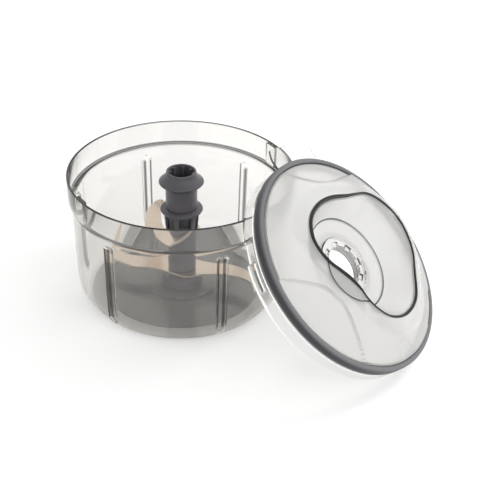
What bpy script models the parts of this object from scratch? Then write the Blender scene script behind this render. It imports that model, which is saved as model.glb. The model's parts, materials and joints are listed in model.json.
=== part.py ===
"""Hand food chopper: a clear bowl with its blade unit standing in it, and the clear lid leaning on its rim.

Frame: +Z up, the origin at the underside of the non-slip base on the bowl's axis, and +X towards the lid.
"""
import math

import bmesh
import bpy
from mathutils import Matrix, Vector

# Shared clearances and thicknesses
GAP = 0.0003                 # between pieces that touch
RUN_GAP = 0.0004             # between pieces that turn or slide on each other
OVERRUN = 0.001              # how far a cutter runs past what it cuts

# Bowl
RIM_RADIUS = 0.0900
BOWL_HEIGHT = 0.1108
WALL = 0.0018
COLLAR_DEPTH = 0.0191        # from the rim down to the outer step
STEP_HEIGHT = 0.0022         # height of the sloping shoulder under the collar
BODY_TOP_RADIUS = 0.0872
BODY_LOW_RADIUS = 0.0860
HEEL_HEIGHT = 0.0220
FOOT_RADIUS = 0.0709
FOOT_LIFT = 0.0006           # the clear foot stands just above the surface, on the base pad
FLOOR_THICKNESS = 0.0018
PAD_RADIUS = 0.0637
PAD_THICKNESS = 0.0022
PAD_CHAMFER = 0.0005
DISC_RADIUS = 0.0280         # raised disc in the floor under the blade unit
DISC_RISE = 0.0012
FLUTE_COUNT = 6
FLUTE_FIRST_ANGLE = math.radians(22)
FLUTE_WIDTH = 0.0072
FLUTE_DEPTH = 0.0026
FLUTE_TOP = 0.0815
FLUTE_BOTTOM = 0.0060
FLUTE_FADE = 0.0050
LUG_COUNT = 2
LUG_FIRST_ANGLE = math.radians(62)
LUG_WIDTH = 0.0110
LUG_DEPTH = 0.0022
LUG_HEIGHT = 0.0060
LUG_DROP = 0.0050            # from the rim to the lug's top
LUG_TIP_SHARES = (1, 0.7, 0.6)   # size of the lug's inner face against its root

# Pin that the blade unit turns on
PIN_RADIUS = 0.0035
PIN_TOP = 0.0600
PIN_ROUNDING = 0.0012
BOSS_RADIUS = 0.0072
BOSS_TOP = 0.0140
BOSS_TAPER = 0.0006
PIN_SOCKET_FLOOR = 0.0036

# Bush that sits on the pin
BUSH_WALL = 0.0022
BUSH_CAP = 0.0020
THRUST_PAD_THICKNESS = 0.0010

# Blade unit
CORE_FLAT_RADIUS = 0.0090    # half the width across the core's six flats
FOOT_BOTTOM_GAP = 0.0004     # between the hub's foot and the disc in the floor
HUB_FOOT_RADIUS = 0.0171
HUB_FOOT_EDGE = 0.0022
HUB_FLARE_RADIUS = 0.0144
HUB_FLARE_HEIGHT = 0.0050
HUB_LOW_RADIUS = 0.0113
BLADE_THICKNESS = 0.0012
LOWER_BLADE_Z = 0.0200
UPPER_BLADE_Z = 0.0490
UPPER_BLADE_TILT = math.radians(18)
UPPER_BLADE_AXIS = math.radians(139)
HUB_HIGH_RADIUS = 0.0131
COLLAR_BASE_Z = 0.0555       # where the windowed zone starts
WINDOW_HEIGHT = 0.0172
WINDOW_DEPTH = 0.0016
WINDOW_COUNT = 6
WINDOW_WEB_SHARE = 0.28      # share of the way round that the webs between the windows take
COLLAR_RADIUS = 0.0173
COLLAR_LOW_RADIUS = 0.0146
COLLAR_Z = 0.0763
COLLAR_TOP = 0.0777
COLLAR_EDGE = 0.0020
SOCKET_NECK_RADIUS = 0.0127
SOCKET_TOP = 0.1100
SOCKET_TOP_RADIUS = 0.0121
SOCKET_FLANGE_RADIUS = 0.0180
SOCKET_FLANGE_Z = 0.1006
SOCKET_FLANGE_LOW = 0.0962
SOCKET_FLANGE_EDGE = 0.0012
SOCKET_BORE_RADIUS = 0.0103
SOCKET_TOOTH_RADIUS = 0.0086
SOCKET_TEETH = 8
SOCKET_TOOTH_SHARE = 0.4     # share of the way round that the teeth take
SOCKET_FLOOR = 0.0880
SOCKET_WEB = 0.0030
SCREW_RADIUS = 0.0020
SCREW_HEAD_RADIUS = 0.0040
SCREW_HEAD_HEIGHT = 0.0024
SCREW_DEPTH = 0.0040         # how far the screw's end stands in the core's top
CORE_PLUG = 0.0048
WASHER_RADIUS = 0.0048
WASHER_THICKNESS = 0.0006

# Lid, in its own frame: its axis is local Z, and height zero is a little over its skirt's top
LEAN_ANGLE = math.radians(29.34)   # from the lid's highest point to where its skirt leans on the rim
LID_RADIUS = 0.0924          # the recess, the hole and the ring follow from it
RING_INSET = 0.0040          # how far the grey ring's outside lies in from it
RING_BAND = 0.0040           # how far the grey ring reaches in from its outside to the clear shell
RING_OVERHANG = 0.0005       # how far it stands out past the skirt
RING_TOP = 0.0045
RING_EDGE = 0.0018
RING_FOOT = 0.0030           # how far its foot reaches in under the shell's lip
SKIRT_DEPTH = 0.0166
SKIRT_WALL = 0.0012
SKIRT_FLANGE = 0.0060
SKIRT_FLANGE_THICKNESS = 0.0016
SKIRT_TOP = 0.0036
BAYONET_DEPTH = 0.0028
BAYONET_WIDTH = math.radians(26)
BAYONET_GATE_WIDTH = math.radians(11)
BAYONET_TOP = 0.0062
BAYONET_BOTTOM = 0.0128
BAYONET_FIRST_ANGLE = math.radians(-124)
TAB_ANGLE = math.radians(157)
TAB_WIDTH = 0.0500
TAB_REACH = 0.0155
TAB_THICKNESS = 0.0018
TAB_Z = 0.0058
TAB_SQUARE_SHARE = 0.6       # where the tab's rounded sides reach its straight front edge
SHELL_THICKNESS = 0.0018
SHELL_LIP = 0.0014
SHELL_LIP_WALL = 0.0022
DOME_EDGE_HEIGHT = 0.0055
DOME_RISE = 0.0036
RECESS_RIM_HEIGHT = 0.0138
RECESS_SLOPE = 0.0125
RECESS_WALL_RUN = 0.0070
DISH_SHARE = 0.406           # radius of the recess's flat floor, as a share of the ring's radius
DISH_DEPTH = 0.0040
HOLE_SEAT_SHARE = 0.2554     # radius of the hole for the coupling, as a share of the ring's radius
COUPLING_BORE_SHARE = 0.677  # radius of the coupling's bore, as a share of its own radius
COUPLING_TOP = 0.0030        # below the ring's plane
COUPLING_DEPTH = 0.0070
COUPLING_LIP = 0.0030
COUPLING_SLOTS = 8
COUPLING_SLOT_DEPTH = 0.0022
COUPLING_SLOT_SHARE = 0.44   # share of the way round that the slots take
COUPLING_SLOT_REACH_SHARE = 0.467   # how far out from the bore the slots go, as a share of its wall
RETAINER_WALL = 0.0022
RETAINER_THICKNESS = 0.0016
SEAL_SECTION = 0.0010

# The recess in the lid: the angle in degrees and the radius of its rim there, as a share of the ring's radius
RECESS_RIM_SHARES = (
    (0, 0.615), (20, 0.655), (45, 0.665), (65, 0.740), (85, 0.785), (100, 0.765), (114, 0.715), (128, 0.615),
    (140, 0.560), (160, 0.535), (180, 0.528), (200, 0.524), (212, 0.507), (223, 0.480), (234, 0.430),
    (246, 0.370), (262, 0.298), (283, 0.268), (304, 0.300), (316, 0.375), (327, 0.450), (340, 0.535),
    (350, 0.580))

# Blade outlines seen from above, as shares of the rim's radius
UPPER_BLADE_SHARES = (
    (-0.017, -0.217), (-0.120, -0.200), (-0.222, -0.167), (-0.345, -0.060), (-0.466, 0.074), (-0.532, 0.180),
    (-0.574, 0.292), (-0.576, 0.373), (-0.552, 0.443), (-0.520, 0.462), (-0.478, 0.449), (-0.470, 0.397),
    (-0.411, 0.289), (-0.352, 0.197), (-0.292, 0.120), (-0.225, 0.070), (-0.165, 0.105), (-0.080, 0.170),
    (0.033, 0.190), (0.125, 0.140), (0.168, 0.040), (0.160, -0.030), (0.133, -0.100), (0.080, -0.160),
    (0.022, -0.200))
LOWER_WING_SHARES = (
    (0.110, 0.165), (0.250, 0.195), (0.360, 0.245), (0.470, 0.253), (0.565, 0.236), (0.650, 0.195),
    (0.720, 0.130), (0.762, 0.045), (0.770, -0.030), (0.735, 0.020), (0.670, 0.072), (0.560, 0.092),
    (0.450, 0.070), (0.340, 0.022), (0.255, -0.030), (0.190, -0.090), (0.120, -0.150))

# Segment counts
LARGE_SEGMENTS = 72
SMALL_SEGMENTS = 48
PIN_SEGMENTS = 24
FLUTE_STEPS = 4
PLAIN_STEPS = 5
HEEL_STEPS = 4
LID_SEGMENTS = 72
RING_SEGMENTS = 96
OUTLINE_STEPS = 2

# Heights that follow from the sizes above
FLOOR_UNDERSIDE = PAD_THICKNESS + GAP
FLOOR_TOP = FLOOR_UNDERSIDE + FLOOR_THICKNESS
DISC_TOP = FLOOR_TOP + DISC_RISE
HUB_BOTTOM = DISC_TOP + FOOT_BOTTOM_GAP
BUSH_BOTTOM = BOSS_TOP + RUN_GAP
BUSH_BORE = PIN_RADIUS + RUN_GAP
BUSH_RADIUS = BUSH_BORE + BUSH_WALL
BUSH_TOP = PIN_TOP + THRUST_PAD_THICKNESS + 3 * GAP + BUSH_CAP
CORE_BORE = BUSH_RADIUS + RUN_GAP
CORE_PLUG_BOTTOM = BUSH_TOP + RUN_GAP
CORE_TOP = CORE_PLUG_BOTTOM + CORE_PLUG
HEX_BORE = CORE_FLAT_RADIUS + GAP

# Lid sizes that follow from the ring's
RING_RADIUS = LID_RADIUS - RING_INSET
SKIRT_RADIUS = RING_RADIUS - RING_OVERHANG
RING_INNER_RADIUS = RING_RADIUS - RING_BAND
SHELL_RADIUS = RING_INNER_RADIUS - RUN_GAP
DISH_RADIUS = LID_RADIUS * DISH_SHARE
HOLE_SEAT_RADIUS = LID_RADIUS * HOLE_SEAT_SHARE
COUPLING_RADIUS = HOLE_SEAT_RADIUS - RUN_GAP
COUPLING_BORE = COUPLING_RADIUS * COUPLING_BORE_SHARE
COUPLING_SLOT_RADIUS = COUPLING_BORE + (COUPLING_RADIUS - COUPLING_BORE) * COUPLING_SLOT_REACH_SHARE


def clear_scene():
    for old in list(bpy.data.objects):
        bpy.data.objects.remove(old, do_unlink=True)


def material(name, color, roughness, metallic=0.0, alpha=1.0):
    made = bpy.data.materials.new(name)
    made.use_nodes = True
    shader = made.node_tree.nodes["Principled BSDF"]
    shader.inputs["Base Color"].default_value = (*color, 1.0)
    shader.inputs["Roughness"].default_value = roughness
    shader.inputs["Metallic"].default_value = metallic
    shader.inputs["Alpha"].default_value = alpha
    made.diffuse_color = (*color, alpha)
    return made


def smooth_step(value):
    value = min(max(value, 0.0), 1.0)
    return value * value * (3 - 2 * value)


def mix(start, end, share):
    return start + (end - start) * share


def add_object(name, mesh_data, finish, parent=None):
    mesh = bpy.data.meshes.new(name)
    mesh_data.to_mesh(mesh)
    mesh_data.free()
    mesh.materials.append(finish)
    mesh.shade_smooth()
    mesh.set_sharp_from_angle(angle=math.radians(35))
    made = bpy.data.objects.new(name, mesh)
    bpy.context.collection.objects.link(made)
    made.parent = parent
    return made


def face_outwards(data):
    bmesh.ops.recalc_face_normals(data, faces=data.faces)
    if data.calc_volume(signed=True) < 0:
        bmesh.ops.reverse_faces(data, faces=data.faces)


def rings_to_mesh(rings, closed_profile):
    """Bridge rings of points into one closed surface; a one-point ring is a pole."""
    data = bmesh.new()
    verts = [[data.verts.new(point) for point in ring] for ring in rings]
    pairs = list(zip(verts, verts[1:]))
    if closed_profile:
        pairs.append((verts[-1], verts[0]))
    for lower, upper in pairs:
        count = max(len(lower), len(upper))
        for index in range(count):
            following = (index + 1) % count
            corners = [lower[index % len(lower)], lower[following % len(lower)],
                       upper[following % len(upper)], upper[index % len(upper)]]
            corners = list(dict.fromkeys(corners))
            data.faces.new(corners)
    face_outwards(data)
    return data


def turned(profile, segments, shape=None, angles=None):
    """Turn a profile of (radius, height) about Z; shape(index, angle, radius, height) may move a point."""
    if angles is None:
        angles = [math.tau * index / segments for index in range(segments)]
    rings = []
    closed = profile[0][0] > 0 and profile[-1][0] > 0
    for index, (radius, height) in enumerate(profile):
        if radius == 0:
            rings.append([Vector((0, 0, height))])
            continue
        ring = []
        for angle in angles:
            reach, level = (radius, height) if shape is None else shape(index, angle, radius, height)
            ring.append(Vector((reach * math.cos(angle), reach * math.sin(angle), level)))
        rings.append(ring)
    return rings_to_mesh(rings, closed)


def hexagon(flat_radius, angle):
    sixth = math.tau / 6
    return flat_radius / math.cos((angle % sixth) - sixth / 2)


def angle_between(angle, centre):
    return (angle - centre + math.pi) % math.tau - math.pi


def smooth_outline(points, steps):
    """A closed Catmull-Rom curve through the points, with steps points to each span."""
    count = len(points)
    outline = []
    for index in range(count):
        before, start, end, after = (Vector(points[(index + shift) % count]) for shift in (-1, 0, 1, 2))
        for step in range(steps):
            t = step / steps
            outline.append(0.5 * (2 * start + (end - before) * t
                                  + (2 * before - 5 * start + 4 * end - after) * t ** 2
                                  + (3 * start - before - 3 * end + after) * t ** 3))
    return outline


def cut(target, cutter):
    step = target.modifiers.new("cut", "BOOLEAN")
    step.operation = "DIFFERENCE"
    step.solver = "EXACT"
    step.object = cutter
    cutter.hide_render = True
    cutter.display_type = "WIRE"
    cutter.hide_set(True)


def box_cutter(name, size, place):
    data = bmesh.new()
    bmesh.ops.create_cube(data, size=size)
    mesh = bpy.data.meshes.new(name)
    data.to_mesh(mesh)
    data.free()
    made = bpy.data.objects.new(name, mesh)
    bpy.context.collection.objects.link(made)
    made.matrix_world = place
    return made


# Bowl

def flute_angles():
    """Angles round the bowl, close together across each flute."""
    half = FLUTE_WIDTH / BODY_LOW_RADIUS / 2
    spacing = math.tau / FLUTE_COUNT
    angles = []
    for flute in range(FLUTE_COUNT):
        centre = FLUTE_FIRST_ANGLE + flute * spacing
        angles += [centre - half + 2 * half * step / FLUTE_STEPS for step in range(FLUTE_STEPS + 1)]
        between = spacing - 2 * half
        angles += [centre + half + between * step / PLAIN_STEPS for step in range(1, PLAIN_STEPS)]
    return angles


def flute_inset(angle, height):
    """How far a flute pushes the wall inwards at this angle and height."""
    spacing = math.tau / FLUTE_COUNT
    offset = (angle - FLUTE_FIRST_ANGLE + spacing / 2) % spacing - spacing / 2
    across = abs(offset) * BODY_LOW_RADIUS / (FLUTE_WIDTH / 2)
    along = min((FLUTE_TOP - height) / FLUTE_FADE, (height - FLUTE_BOTTOM) / FLUTE_FADE)
    if across >= 1 or along <= 0:
        return 0.0
    return FLUTE_DEPTH * math.sqrt(1 - across ** 2) * smooth_step(along)


def bowl_wall_radius(height):
    """Outer radius of the body below the collar."""
    if height < HEEL_HEIGHT:
        drop = (HEEL_HEIGHT - height) / (HEEL_HEIGHT - FOOT_LIFT)
        return FOOT_RADIUS + (BODY_LOW_RADIUS - FOOT_RADIUS) * math.sqrt(max(0.0, 1 - drop ** 2))
    share = (height - HEEL_HEIGHT) / (BOWL_HEIGHT - COLLAR_DEPTH - HEEL_HEIGHT)
    return mix(BODY_LOW_RADIUS, BODY_TOP_RADIUS, share)


def wall_heights(bottom):
    """Heights of the rings up the body's wall, from the heel to just under the collar."""
    heel = [bottom + (HEEL_HEIGHT - bottom) * (1 - math.cos(math.pi / 2 * step / HEEL_STEPS))
            for step in range(1, HEEL_STEPS + 1)]
    plain = [mix(HEEL_HEIGHT, FLUTE_TOP - FLUTE_FADE, share) for share in (0.35, 0.7, 1.0)]
    fade = [FLUTE_TOP - FLUTE_FADE * share for share in (0.75, 0.5, 0.25, 0.0)]
    return heel + plain + fade


def build_bowl(finish):
    inner_rim = RIM_RADIUS - WALL
    step_top = BOWL_HEIGHT - COLLAR_DEPTH
    shoulder = step_top - STEP_HEIGHT
    ledge = step_top - WALL * 0.5
    outside = [(bowl_wall_radius(height), height) for height in wall_heights(FOOT_LIFT)]
    outside += [(BODY_TOP_RADIUS, shoulder),
                (mix(BODY_TOP_RADIUS, RIM_RADIUS, 0.7), mix(shoulder, step_top, 0.3)), (RIM_RADIUS, step_top),
                (RIM_RADIUS, BOWL_HEIGHT - WALL / 3), (RIM_RADIUS - WALL / 4, BOWL_HEIGHT)]
    inside = [(inner_rim + WALL / 4, BOWL_HEIGHT), (inner_rim, BOWL_HEIGHT - WALL / 3),
              (inner_rim, ledge + WALL), (inner_rim - WALL / 2, ledge),
              (BODY_TOP_RADIUS - WALL, ledge - WALL / 3)]
    inside += [(bowl_wall_radius(height) - WALL, height)
               for height in reversed(wall_heights(FLOOR_TOP)) if height > FLOOR_TOP]
    floor = [(FOOT_RADIUS - WALL, FLOOR_TOP), (DISC_RADIUS + DISC_RISE, FLOOR_TOP), (DISC_RADIUS, DISC_TOP),
             (BOSS_RADIUS + BOSS_TAPER, DISC_TOP), (BOSS_RADIUS, BOSS_TOP), (PIN_RADIUS + GAP, BOSS_TOP),
             (PIN_RADIUS + GAP, PIN_SOCKET_FLOOR), (0, PIN_SOCKET_FLOOR)]
    underside = [(0, FLOOR_UNDERSIDE), (PAD_RADIUS + GAP, FLOOR_UNDERSIDE), (PAD_RADIUS + 2 * GAP, FOOT_LIFT),
                 (FOOT_RADIUS - WALL / 3, FOOT_LIFT)]
    profile = underside + outside + inside + floor

    def fluted(index, angle, radius, height):
        on_wall = len(underside) <= index < len(profile) - len(floor)
        return (radius - flute_inset(angle, height), height) if on_wall else (radius, height)

    bowl = add_object("bowl_shell", turned(profile, 0, fluted, flute_angles()), finish)
    for index in range(LUG_COUNT):
        angle = LUG_FIRST_ANGLE + math.tau * index / LUG_COUNT
        lug = build_lug("lug_tool_%d" % index, angle, inner_rim)
        join = bowl.modifiers.new("lug", "BOOLEAN")
        join.operation = "UNION"
        join.solver = "EXACT"
        join.object = lug
    return bowl


def build_lug(name, angle, inner_rim):
    """A bayonet lug on the collar's inner side, sunk into the wall by half its thickness."""
    data = bmesh.new()
    bmesh.ops.create_cube(data, size=1.0)
    size = (LUG_DEPTH + WALL / 2, LUG_WIDTH, LUG_HEIGHT)
    bmesh.ops.scale(data, vec=size, verts=data.verts)
    inward = [vert for vert in data.verts if vert.co.x < 0]
    bmesh.ops.scale(data, vec=LUG_TIP_SHARES, verts=inward)
    mesh = bpy.data.meshes.new(name)
    data.to_mesh(mesh)
    data.free()
    lug = bpy.data.objects.new(name, mesh)
    bpy.context.collection.objects.link(lug)
    reach = inner_rim + WALL / 2 - size[0] / 2
    height = BOWL_HEIGHT - LUG_DROP - LUG_HEIGHT / 2
    place = Matrix.Rotation(angle, 4, "Z") @ Matrix.Translation((reach, 0, height))
    lug.matrix_world = place
    lug.hide_render = True
    lug.display_type = "WIRE"
    lug.hide_set(True)
    return lug


def build_base(pad_finish, steel):
    pad = [(0, 0), (PAD_RADIUS - PAD_CHAMFER, 0), (PAD_RADIUS, PAD_CHAMFER), (PAD_RADIUS, PAD_THICKNESS),
           (0, PAD_THICKNESS)]
    add_object("non_slip_base", turned(pad, LARGE_SEGMENTS), pad_finish)
    bottom = PIN_SOCKET_FLOOR + GAP
    pin = [(0, bottom), (PIN_RADIUS, bottom), (PIN_RADIUS, PIN_TOP - PIN_ROUNDING),
           (PIN_RADIUS - PIN_ROUNDING, PIN_TOP), (0, PIN_TOP)]
    add_object("centre_pin", turned(pin, PIN_SEGMENTS), steel)


# Blade unit

def hex_points(*indices):
    """A shape function that makes the points with these indices six-sided."""
    def shape(index, angle, radius, height):
        return (hexagon(radius, angle), height) if index in indices else (radius, height)
    return shape


def build_bush(finish, parent):
    cap_under = BUSH_TOP - BUSH_CAP
    profile = [(0, cap_under), (BUSH_BORE, cap_under), (BUSH_BORE, BUSH_BOTTOM), (BUSH_RADIUS, BUSH_BOTTOM),
               (BUSH_RADIUS, BUSH_TOP - GAP), (BUSH_RADIUS - GAP, BUSH_TOP), (0, BUSH_TOP)]
    add_object("pivot_bush", turned(profile, PIN_SEGMENTS), finish, parent)


def build_thrust_pad(finish, parent):
    bottom = PIN_TOP + 2 * GAP
    radius = PIN_RADIUS
    top = bottom + THRUST_PAD_THICKNESS
    pad = [(0, bottom), (radius, bottom), (radius, top), (0, top)]
    add_object("thrust_pad", turned(pad, PIN_SEGMENTS), finish, parent)


def build_core(finish, parent):
    hole = SCREW_RADIUS + GAP
    profile = [(hole, CORE_TOP), (hole, CORE_PLUG_BOTTOM), (CORE_BORE, CORE_PLUG_BOTTOM),
               (CORE_BORE, BUSH_BOTTOM), (CORE_FLAT_RADIUS, BUSH_BOTTOM), (CORE_FLAT_RADIUS, CORE_TOP)]
    add_object("hub_core", turned(profile, SMALL_SEGMENTS, hex_points(4, 5)), finish, parent)


def hub_radius(height):
    """Outer radius of the tapered shaft between the blades."""
    share = (height - LOWER_BLADE_Z) / (COLLAR_BASE_Z - LOWER_BLADE_Z)
    return mix(HUB_LOW_RADIUS, HUB_HIGH_RADIUS, share)


def build_foot(finish, parent):
    top = LOWER_BLADE_Z - BLADE_THICKNESS / 2 - GAP
    bore = BOSS_RADIUS + BOSS_TAPER + RUN_GAP
    neck = HUB_BOTTOM + HUB_FOOT_EDGE + HUB_FLARE_HEIGHT
    outside = [(HUB_FOOT_RADIUS - GAP, HUB_BOTTOM), (HUB_FOOT_RADIUS, HUB_BOTTOM + HUB_FOOT_EDGE / 3),
               (HUB_FOOT_RADIUS, HUB_BOTTOM + HUB_FOOT_EDGE * 2 / 3),
               (HUB_FLARE_RADIUS, HUB_BOTTOM + HUB_FOOT_EDGE * 1.2),
               (mix(HUB_FLARE_RADIUS, HUB_LOW_RADIUS, 0.6), mix(HUB_BOTTOM, neck, 0.65)),
               (HUB_LOW_RADIUS, neck), (HUB_LOW_RADIUS, top)]
    inside = [(HEX_BORE, top), (HEX_BORE, BOSS_TOP), (bore, BOSS_TOP), (bore, HUB_BOTTOM)]
    hex_rows = (len(outside), len(outside) + 1)
    data = turned(outside + inside, SMALL_SEGMENTS, hex_points(*hex_rows))
    add_object("hub_foot", data, finish, parent)


def tilt_matrix():
    axis = Vector((math.cos(UPPER_BLADE_AXIS), math.sin(UPPER_BLADE_AXIS), 0))
    return Matrix.Translation((0, 0, UPPER_BLADE_Z)) @ Matrix.Rotation(-UPPER_BLADE_TILT, 4, axis)


def build_shaft(finish, parent):
    bottom = LOWER_BLADE_Z + BLADE_THICKNESS / 2 + GAP
    top = COLLAR_BASE_Z
    profile = [(hub_radius(bottom), bottom), (hub_radius(top), top), (HEX_BORE, top), (HEX_BORE, bottom)]
    shaft = add_object("hub_shaft", turned(profile, SMALL_SEGMENTS, hex_points(2, 3)), finish, parent)
    slab = 2 * COLLAR_BASE_Z
    lift = slab / 2 - BLADE_THICKNESS / 2 - GAP
    place = tilt_matrix() @ Matrix.Translation((0, 0, lift))
    cut(shaft, box_cutter("shaft_cutter", slab, place))


def build_collar(finish, parent):
    bottom = 2 * UPPER_BLADE_Z - COLLAR_BASE_Z
    window_top = COLLAR_BASE_Z + WINDOW_HEIGHT
    outside = [(hub_radius(bottom), bottom), (HUB_HIGH_RADIUS, COLLAR_BASE_Z - GAP),
               (HUB_HIGH_RADIUS, COLLAR_BASE_Z),
               (mix(HUB_HIGH_RADIUS, COLLAR_LOW_RADIUS, 0.8), window_top),
               (COLLAR_LOW_RADIUS, window_top + GAP), (COLLAR_LOW_RADIUS, COLLAR_Z - COLLAR_EDGE),
               (COLLAR_RADIUS, COLLAR_Z - COLLAR_EDGE / 3), (COLLAR_RADIUS, COLLAR_Z),
               (COLLAR_RADIUS - COLLAR_EDGE, COLLAR_TOP - GAP)]
    inside = [(HEX_BORE, COLLAR_TOP - GAP), (HEX_BORE, bottom)]
    hex_rows = (len(outside), len(outside) + 1)

    def shape(index, angle, radius, height):
        if index in hex_rows:
            return hexagon(radius, angle), height
        if index in (2, 3):
            spacing = math.tau / WINDOW_COUNT
            web = abs(angle_between(angle % spacing, spacing / 2)) > spacing * (1 - WINDOW_WEB_SHARE) / 2
            return (radius, height) if web else (radius - WINDOW_DEPTH, height)
        return radius, height

    collar = add_object("hub_collar", turned(outside + inside, SMALL_SEGMENTS, shape), finish, parent)
    slab = 2 * COLLAR_BASE_Z
    drop = -slab / 2 + BLADE_THICKNESS / 2 + GAP
    place = tilt_matrix() @ Matrix.Translation((0, 0, drop))
    cut(collar, box_cutter("collar_cutter", slab, place))


def build_socket(finish, parent):
    spigot_bottom = CORE_TOP + GAP
    web_bottom = SOCKET_FLOOR - SOCKET_WEB
    hole = SCREW_RADIUS + GAP
    spigot_bore = CORE_FLAT_RADIUS - BUSH_WALL
    profile = [
        (CORE_FLAT_RADIUS, spigot_bottom), (CORE_FLAT_RADIUS, COLLAR_TOP), (SOCKET_NECK_RADIUS, COLLAR_TOP),
        (SOCKET_NECK_RADIUS, SOCKET_FLANGE_LOW),
        (SOCKET_FLANGE_RADIUS, SOCKET_FLANGE_Z - SOCKET_FLANGE_EDGE),
        (SOCKET_FLANGE_RADIUS, SOCKET_FLANGE_Z + SOCKET_FLANGE_EDGE / 2),
        (SOCKET_TOP_RADIUS, SOCKET_TOP - SOCKET_FLANGE_EDGE), (SOCKET_TOP_RADIUS, SOCKET_TOP),
        (SOCKET_BORE_RADIUS, SOCKET_TOP), (SOCKET_BORE_RADIUS, SOCKET_TOP - SOCKET_FLANGE_EDGE),
        (SOCKET_BORE_RADIUS, SOCKET_FLOOR), (hole, SOCKET_FLOOR), (hole, web_bottom),
        (spigot_bore, web_bottom), (spigot_bore, spigot_bottom)]
    spline_rows = (9, 10)

    def shape(index, angle, radius, height):
        if index in (0, 1):
            return hexagon(radius, angle), height
        if index in spline_rows:
            spacing = math.tau / SOCKET_TEETH
            tooth = abs(angle_between(angle % spacing, spacing / 2)) < spacing * SOCKET_TOOTH_SHARE / 2
            return (SOCKET_TOOTH_RADIUS if tooth else radius), height
        return radius, height

    add_object("drive_socket", turned(profile, SMALL_SEGMENTS, shape), finish, parent)


def build_screw(finish, parent):
    bottom = CORE_TOP - SCREW_DEPTH
    head = SOCKET_FLOOR + WASHER_THICKNESS + 2 * GAP
    top = head + SCREW_HEAD_HEIGHT
    profile = [(0, bottom), (SCREW_RADIUS, bottom), (SCREW_RADIUS, head), (SCREW_HEAD_RADIUS, head),
               (SCREW_HEAD_RADIUS, mix(head, top, 0.7)), (mix(SCREW_RADIUS, SCREW_HEAD_RADIUS, 0.5), top),
               (0, top)]
    add_object("hub_screw", turned(profile, PIN_SEGMENTS), finish, parent)
    hole = SCREW_RADIUS + GAP
    low = SOCKET_FLOOR + GAP
    washer = [(hole, low), (WASHER_RADIUS, low), (WASHER_RADIUS, low + WASHER_THICKNESS),
              (hole, low + WASHER_THICKNESS)]
    add_object("screw_washer", turned(washer, PIN_SEGMENTS), finish, parent)


def blade_plate(name, shares, finish, parent, place):
    """A flat blade from its outline, with a six-sided eye and a ground outer edge."""
    outline = smooth_outline([(x * RIM_RADIUS, y * RIM_RADIUS) for x, y in shares], OUTLINE_STEPS)
    data = bmesh.new()
    loops = []
    for level in (-BLADE_THICKNESS / 2, BLADE_THICKNESS / 2):
        loops.append([data.verts.new((point.x, point.y, level)) for point in outline])
    data.faces.new(reversed(loops[0]))
    data.faces.new(loops[1])
    for index in range(len(outline)):
        following = (index + 1) % len(outline)
        data.faces.new((loops[0][index], loops[0][following], loops[1][following], loops[1][index]))
    face_outwards(data)
    blade = add_object(name, data, finish, parent)
    blade.matrix_local = place
    eye = [(0, -OVERRUN - BLADE_THICKNESS * 4), (HEX_BORE, -OVERRUN - BLADE_THICKNESS * 4),
           (HEX_BORE, OVERRUN + BLADE_THICKNESS * 4), (0, OVERRUN + BLADE_THICKNESS * 4)]
    tool = add_object(name + "_eye", turned(eye, SMALL_SEGMENTS, hex_points(1, 2)), finish, parent)
    tool.location = place.translation
    cut(blade, tool)
    return blade


def build_blades(steel, parent):
    wings = [(x, y) for x, y in LOWER_WING_SHARES] + [(-x, -y) for x, y in LOWER_WING_SHARES]
    blade_plate("lower_blade", wings, steel, parent, Matrix.Translation((0, 0, LOWER_BLADE_Z)))
    blade_plate("upper_blade", UPPER_BLADE_SHARES, steel, parent, tilt_matrix())


# Lid

def lid_place():
    """The lid's frame: its skirt stands on the surface and leans on the bowl's rim at two points."""
    edge = SKIRT_RADIUS - SKIRT_WALL
    up_slope, side = edge * math.cos(LEAN_ANGLE), edge * math.sin(LEAN_ANGLE)
    reach = BOWL_HEIGHT / (SKIRT_RADIUS + up_slope)
    tilt = math.asin(reach)
    drop = math.cos(tilt)
    height = SKIRT_DEPTH * drop + SKIRT_RADIUS * reach + GAP
    rim_x = math.sqrt(RIM_RADIUS ** 2 - side ** 2)
    along = rim_x + SKIRT_DEPTH * reach + up_slope * drop + GAP
    return Matrix.Translation((along, 0, height)) @ Matrix.Rotation(tilt, 4, "Y")


def recess_radius(angle):
    """Radius of the recess's rim at this angle, on a smooth closed curve."""
    count = len(RECESS_RIM_SHARES)
    degrees = math.degrees(angle) % 360
    index = max(place for place in range(count) if RECESS_RIM_SHARES[place][0] <= degrees)
    near = [(index + shift) for shift in (-1, 0, 1, 2)]
    places = [RECESS_RIM_SHARES[place % count][0] + 360 * (place // count) for place in near]
    values = [RECESS_RIM_SHARES[place % count][1] for place in near]
    span = places[2] - places[1]
    t = (degrees - places[1]) / span
    slope_start = (values[2] - values[0]) / (places[2] - places[0]) * span
    slope_end = (values[3] - values[1]) / (places[3] - places[1]) * span
    share = ((2 * t ** 3 - 3 * t ** 2 + 1) * values[1] + (t ** 3 - 2 * t ** 2 + t) * slope_start
             + (3 * t ** 2 - 2 * t ** 3) * values[2] + (t ** 3 - t ** 2) * slope_end)
    return share * LID_RADIUS


def dome_height(radius, rim):
    """Height of the lid's outer surface beyond the recess's rim."""
    plain = DOME_EDGE_HEIGHT + DOME_RISE * (1 - (radius / SHELL_RADIUS) ** 6)
    return mix(RECESS_RIM_HEIGHT, plain, smooth_step((radius - rim) / RECESS_SLOPE))


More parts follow.
